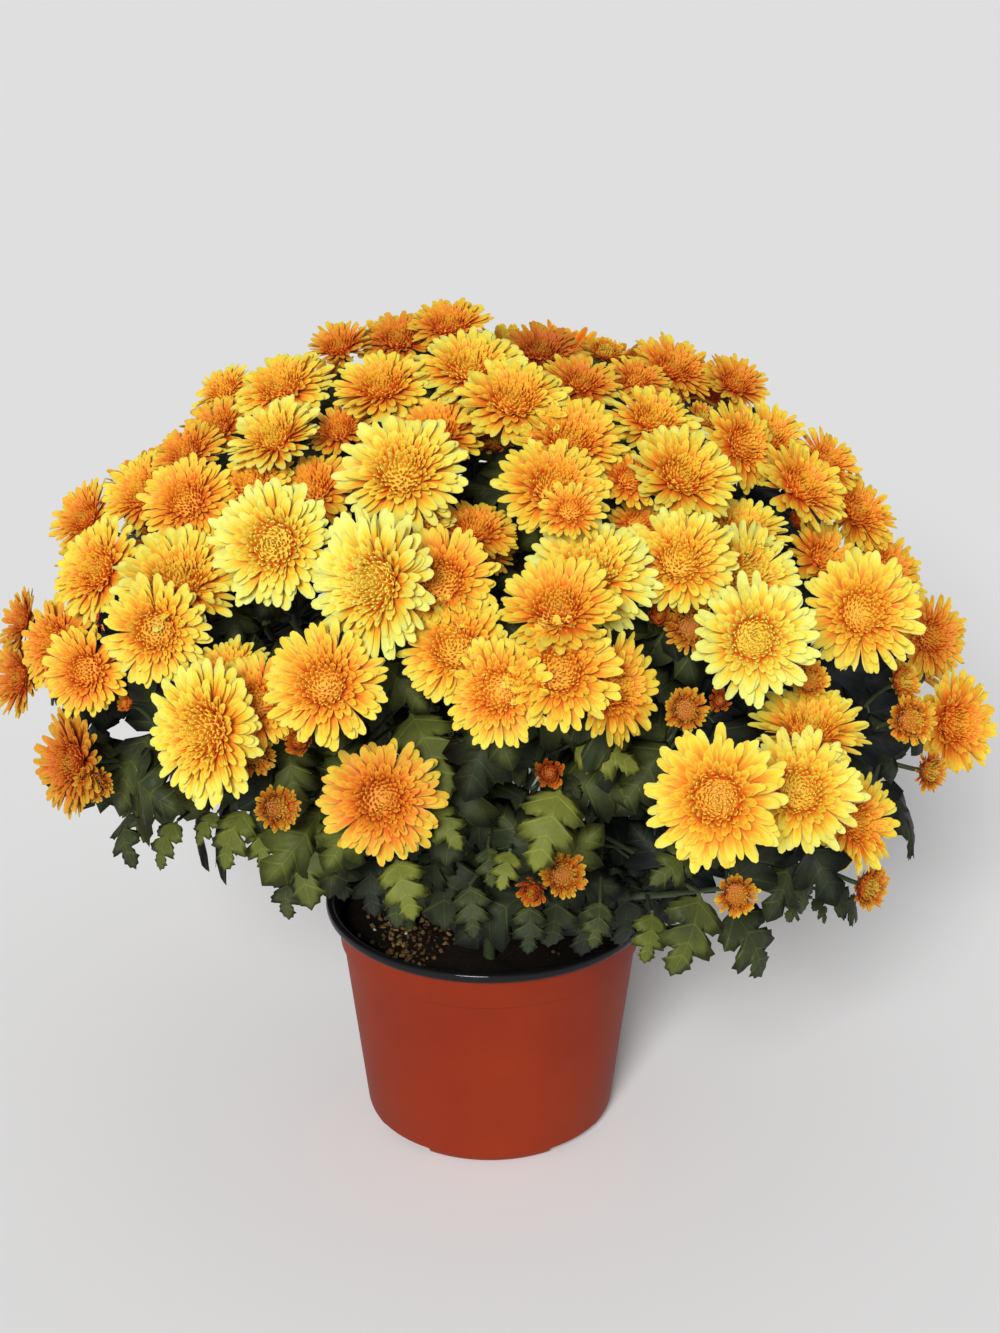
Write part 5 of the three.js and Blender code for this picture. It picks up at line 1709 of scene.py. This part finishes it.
def scatter_tree(finish):
    inputs = [
        ("Bark", "NodeSocketObject", None),
        ("Perlite", "NodeSocketObject", None),
        ("Bark density", "NodeSocketFloat", 220000),
        ("Perlite density", "NodeSocketFloat", 3000),
        ("Seed", "NodeSocketInt", 7),
    ]
    tree, given = new_tree("compost_bits", inputs)
    body, seed = given.outputs["Geometry"], Field(tree, given.outputs["Seed"])
    join = tree.nodes.new("GeometryNodeJoinGeometry")
    feed(tree, join.inputs[0], body)
    values = {"Geometry": body, "Selection": stored(tree, "top").is_over(0.5)}
    top = add_node(tree, "GeometryNodeSeparateGeometry", values, domain="FACE").outputs["Selection"]
    patches = Field(tree, add_node(tree, "ShaderNodeTexNoise", {"Scale": CLUMP_SCALE}).outputs[0])
    clumps = ((patches - 0.5) * CLUMP_EDGE).at_least(0).at_most(1)
    for salt, label in ((BARK, "Bark"), (PERLITE, "Perlite")):
        density = Field(tree, given.outputs[f"{label} density"]) * clumps
        values = {"Mesh": top, "Density": density, "Seed": seed + salt}
        scatter = add_node(tree, "GeometryNodeDistributePointsOnFaces", values)
        turn = random_value(tree, (0, 0, 0), (2 * math.pi,) * 3, Seed=salt + TURN_SEED)
        size = random_value(tree, *BIT_SIZES, Seed=salt + SIZE_SEED)
        points = store(tree, scatter.outputs["Points"], "shade", size - BIT_SIZES[0])
        points = store(tree, points, "kind", salt)
        turned = {"Rotation": turn, "Scale": size}
        feed(tree, join.inputs[0], copies_of(tree, points, given.outputs[label], **turned))
    finish_tree(tree, join.outputs[0], finish)
    return tree


bark_blank = chip_blank("bark_blank", (2.0, 1.4, 1.0), False)
perlite_blank = chip_blank("perlite_blank", (1.8, 1.6, 1.5), True)
bits = {"Bark": bark_blank, "Perlite": perlite_blank}
soil = new_object("compost", grow_with(scatter_tree(soil_finish), soil_body, bits))
take_place(soil, "soil")
print("faces of the compost:", len(soil.data.polygons))

# %% [markdown]
# ## Floor and light
# The plant stands on a plain pale floor. One large soft light from the upper left front is the key, and
# an even white surround fills the shadows. The key is a sun lamp, so it lights every part of the plant
# alike, as a far studio flash does. Past the floor's far edge the camera sees the surround itself, which
# looks brighter than it shines there, so the backdrop is as pale as the floor.

# %% Floor and light
FLOOR_FRONT, FLOOR_BACK, FLOOR_SIDE = -4, 12, 8
FLOOR_SHADER = {"Base Color": (0.9, 0.9, 0.9, 1), "Roughness": 0.9}
KEY = {"energy": 3.2, "angle": 20, "tilt": 60, "turn": -12}
SURROUND, BACKDROP = 0.32, 0.74

floor_corners = [(side * FLOOR_SIDE, FLOOR_FRONT, 0) for side in (-1, 1)]
floor_corners += [(side * FLOOR_SIDE, FLOOR_BACK, 0) for side in (1, -1)]
floor_mesh = mesh_from("floor", floor_corners, faces=[(0, 1, 2, 3)])
floor_mesh.materials.append(new_material("floor", FLOOR_SHADER)[0])
floor = new_object("floor", floor_mesh)

sun = bpy.data.lights.new("key", "SUN")
sun.energy = KEY["energy"]
sun.angle = math.radians(KEY["angle"])
key = new_object("key", sun)
key.rotation_euler = (math.radians(KEY["tilt"]), 0, math.radians(KEY["turn"]))

world = bpy.data.worlds.new("studio")
world.use_nodes = True
surround = world.node_tree.nodes["Background"]
surround.inputs["Color"].default_value = (1, 1, 1, 1)
seen = Field(world.node_tree, world.node_tree.nodes.new("ShaderNodeLightPath").outputs["Is Camera Ray"])
feed(world.node_tree, surround.inputs["Strength"], seen * (BACKDROP - SURROUND) + SURROUND)
scene.world = world
scene.view_settings.view_transform = "Standard"
print("lights:", [key.name, world.name])

# %% [markdown]
# ## Clearing up
# The blanks and hosts have done their work and go.

# %% Finish
for host, _ in head_hosts.values():
    bpy.data.objects.remove(host)
for blank in (ray_blank, inner_blank, floret_blank, bract_blank, leaf, small_leaf, bark_blank, perlite_blank):
    bpy.data.objects.remove(blank)
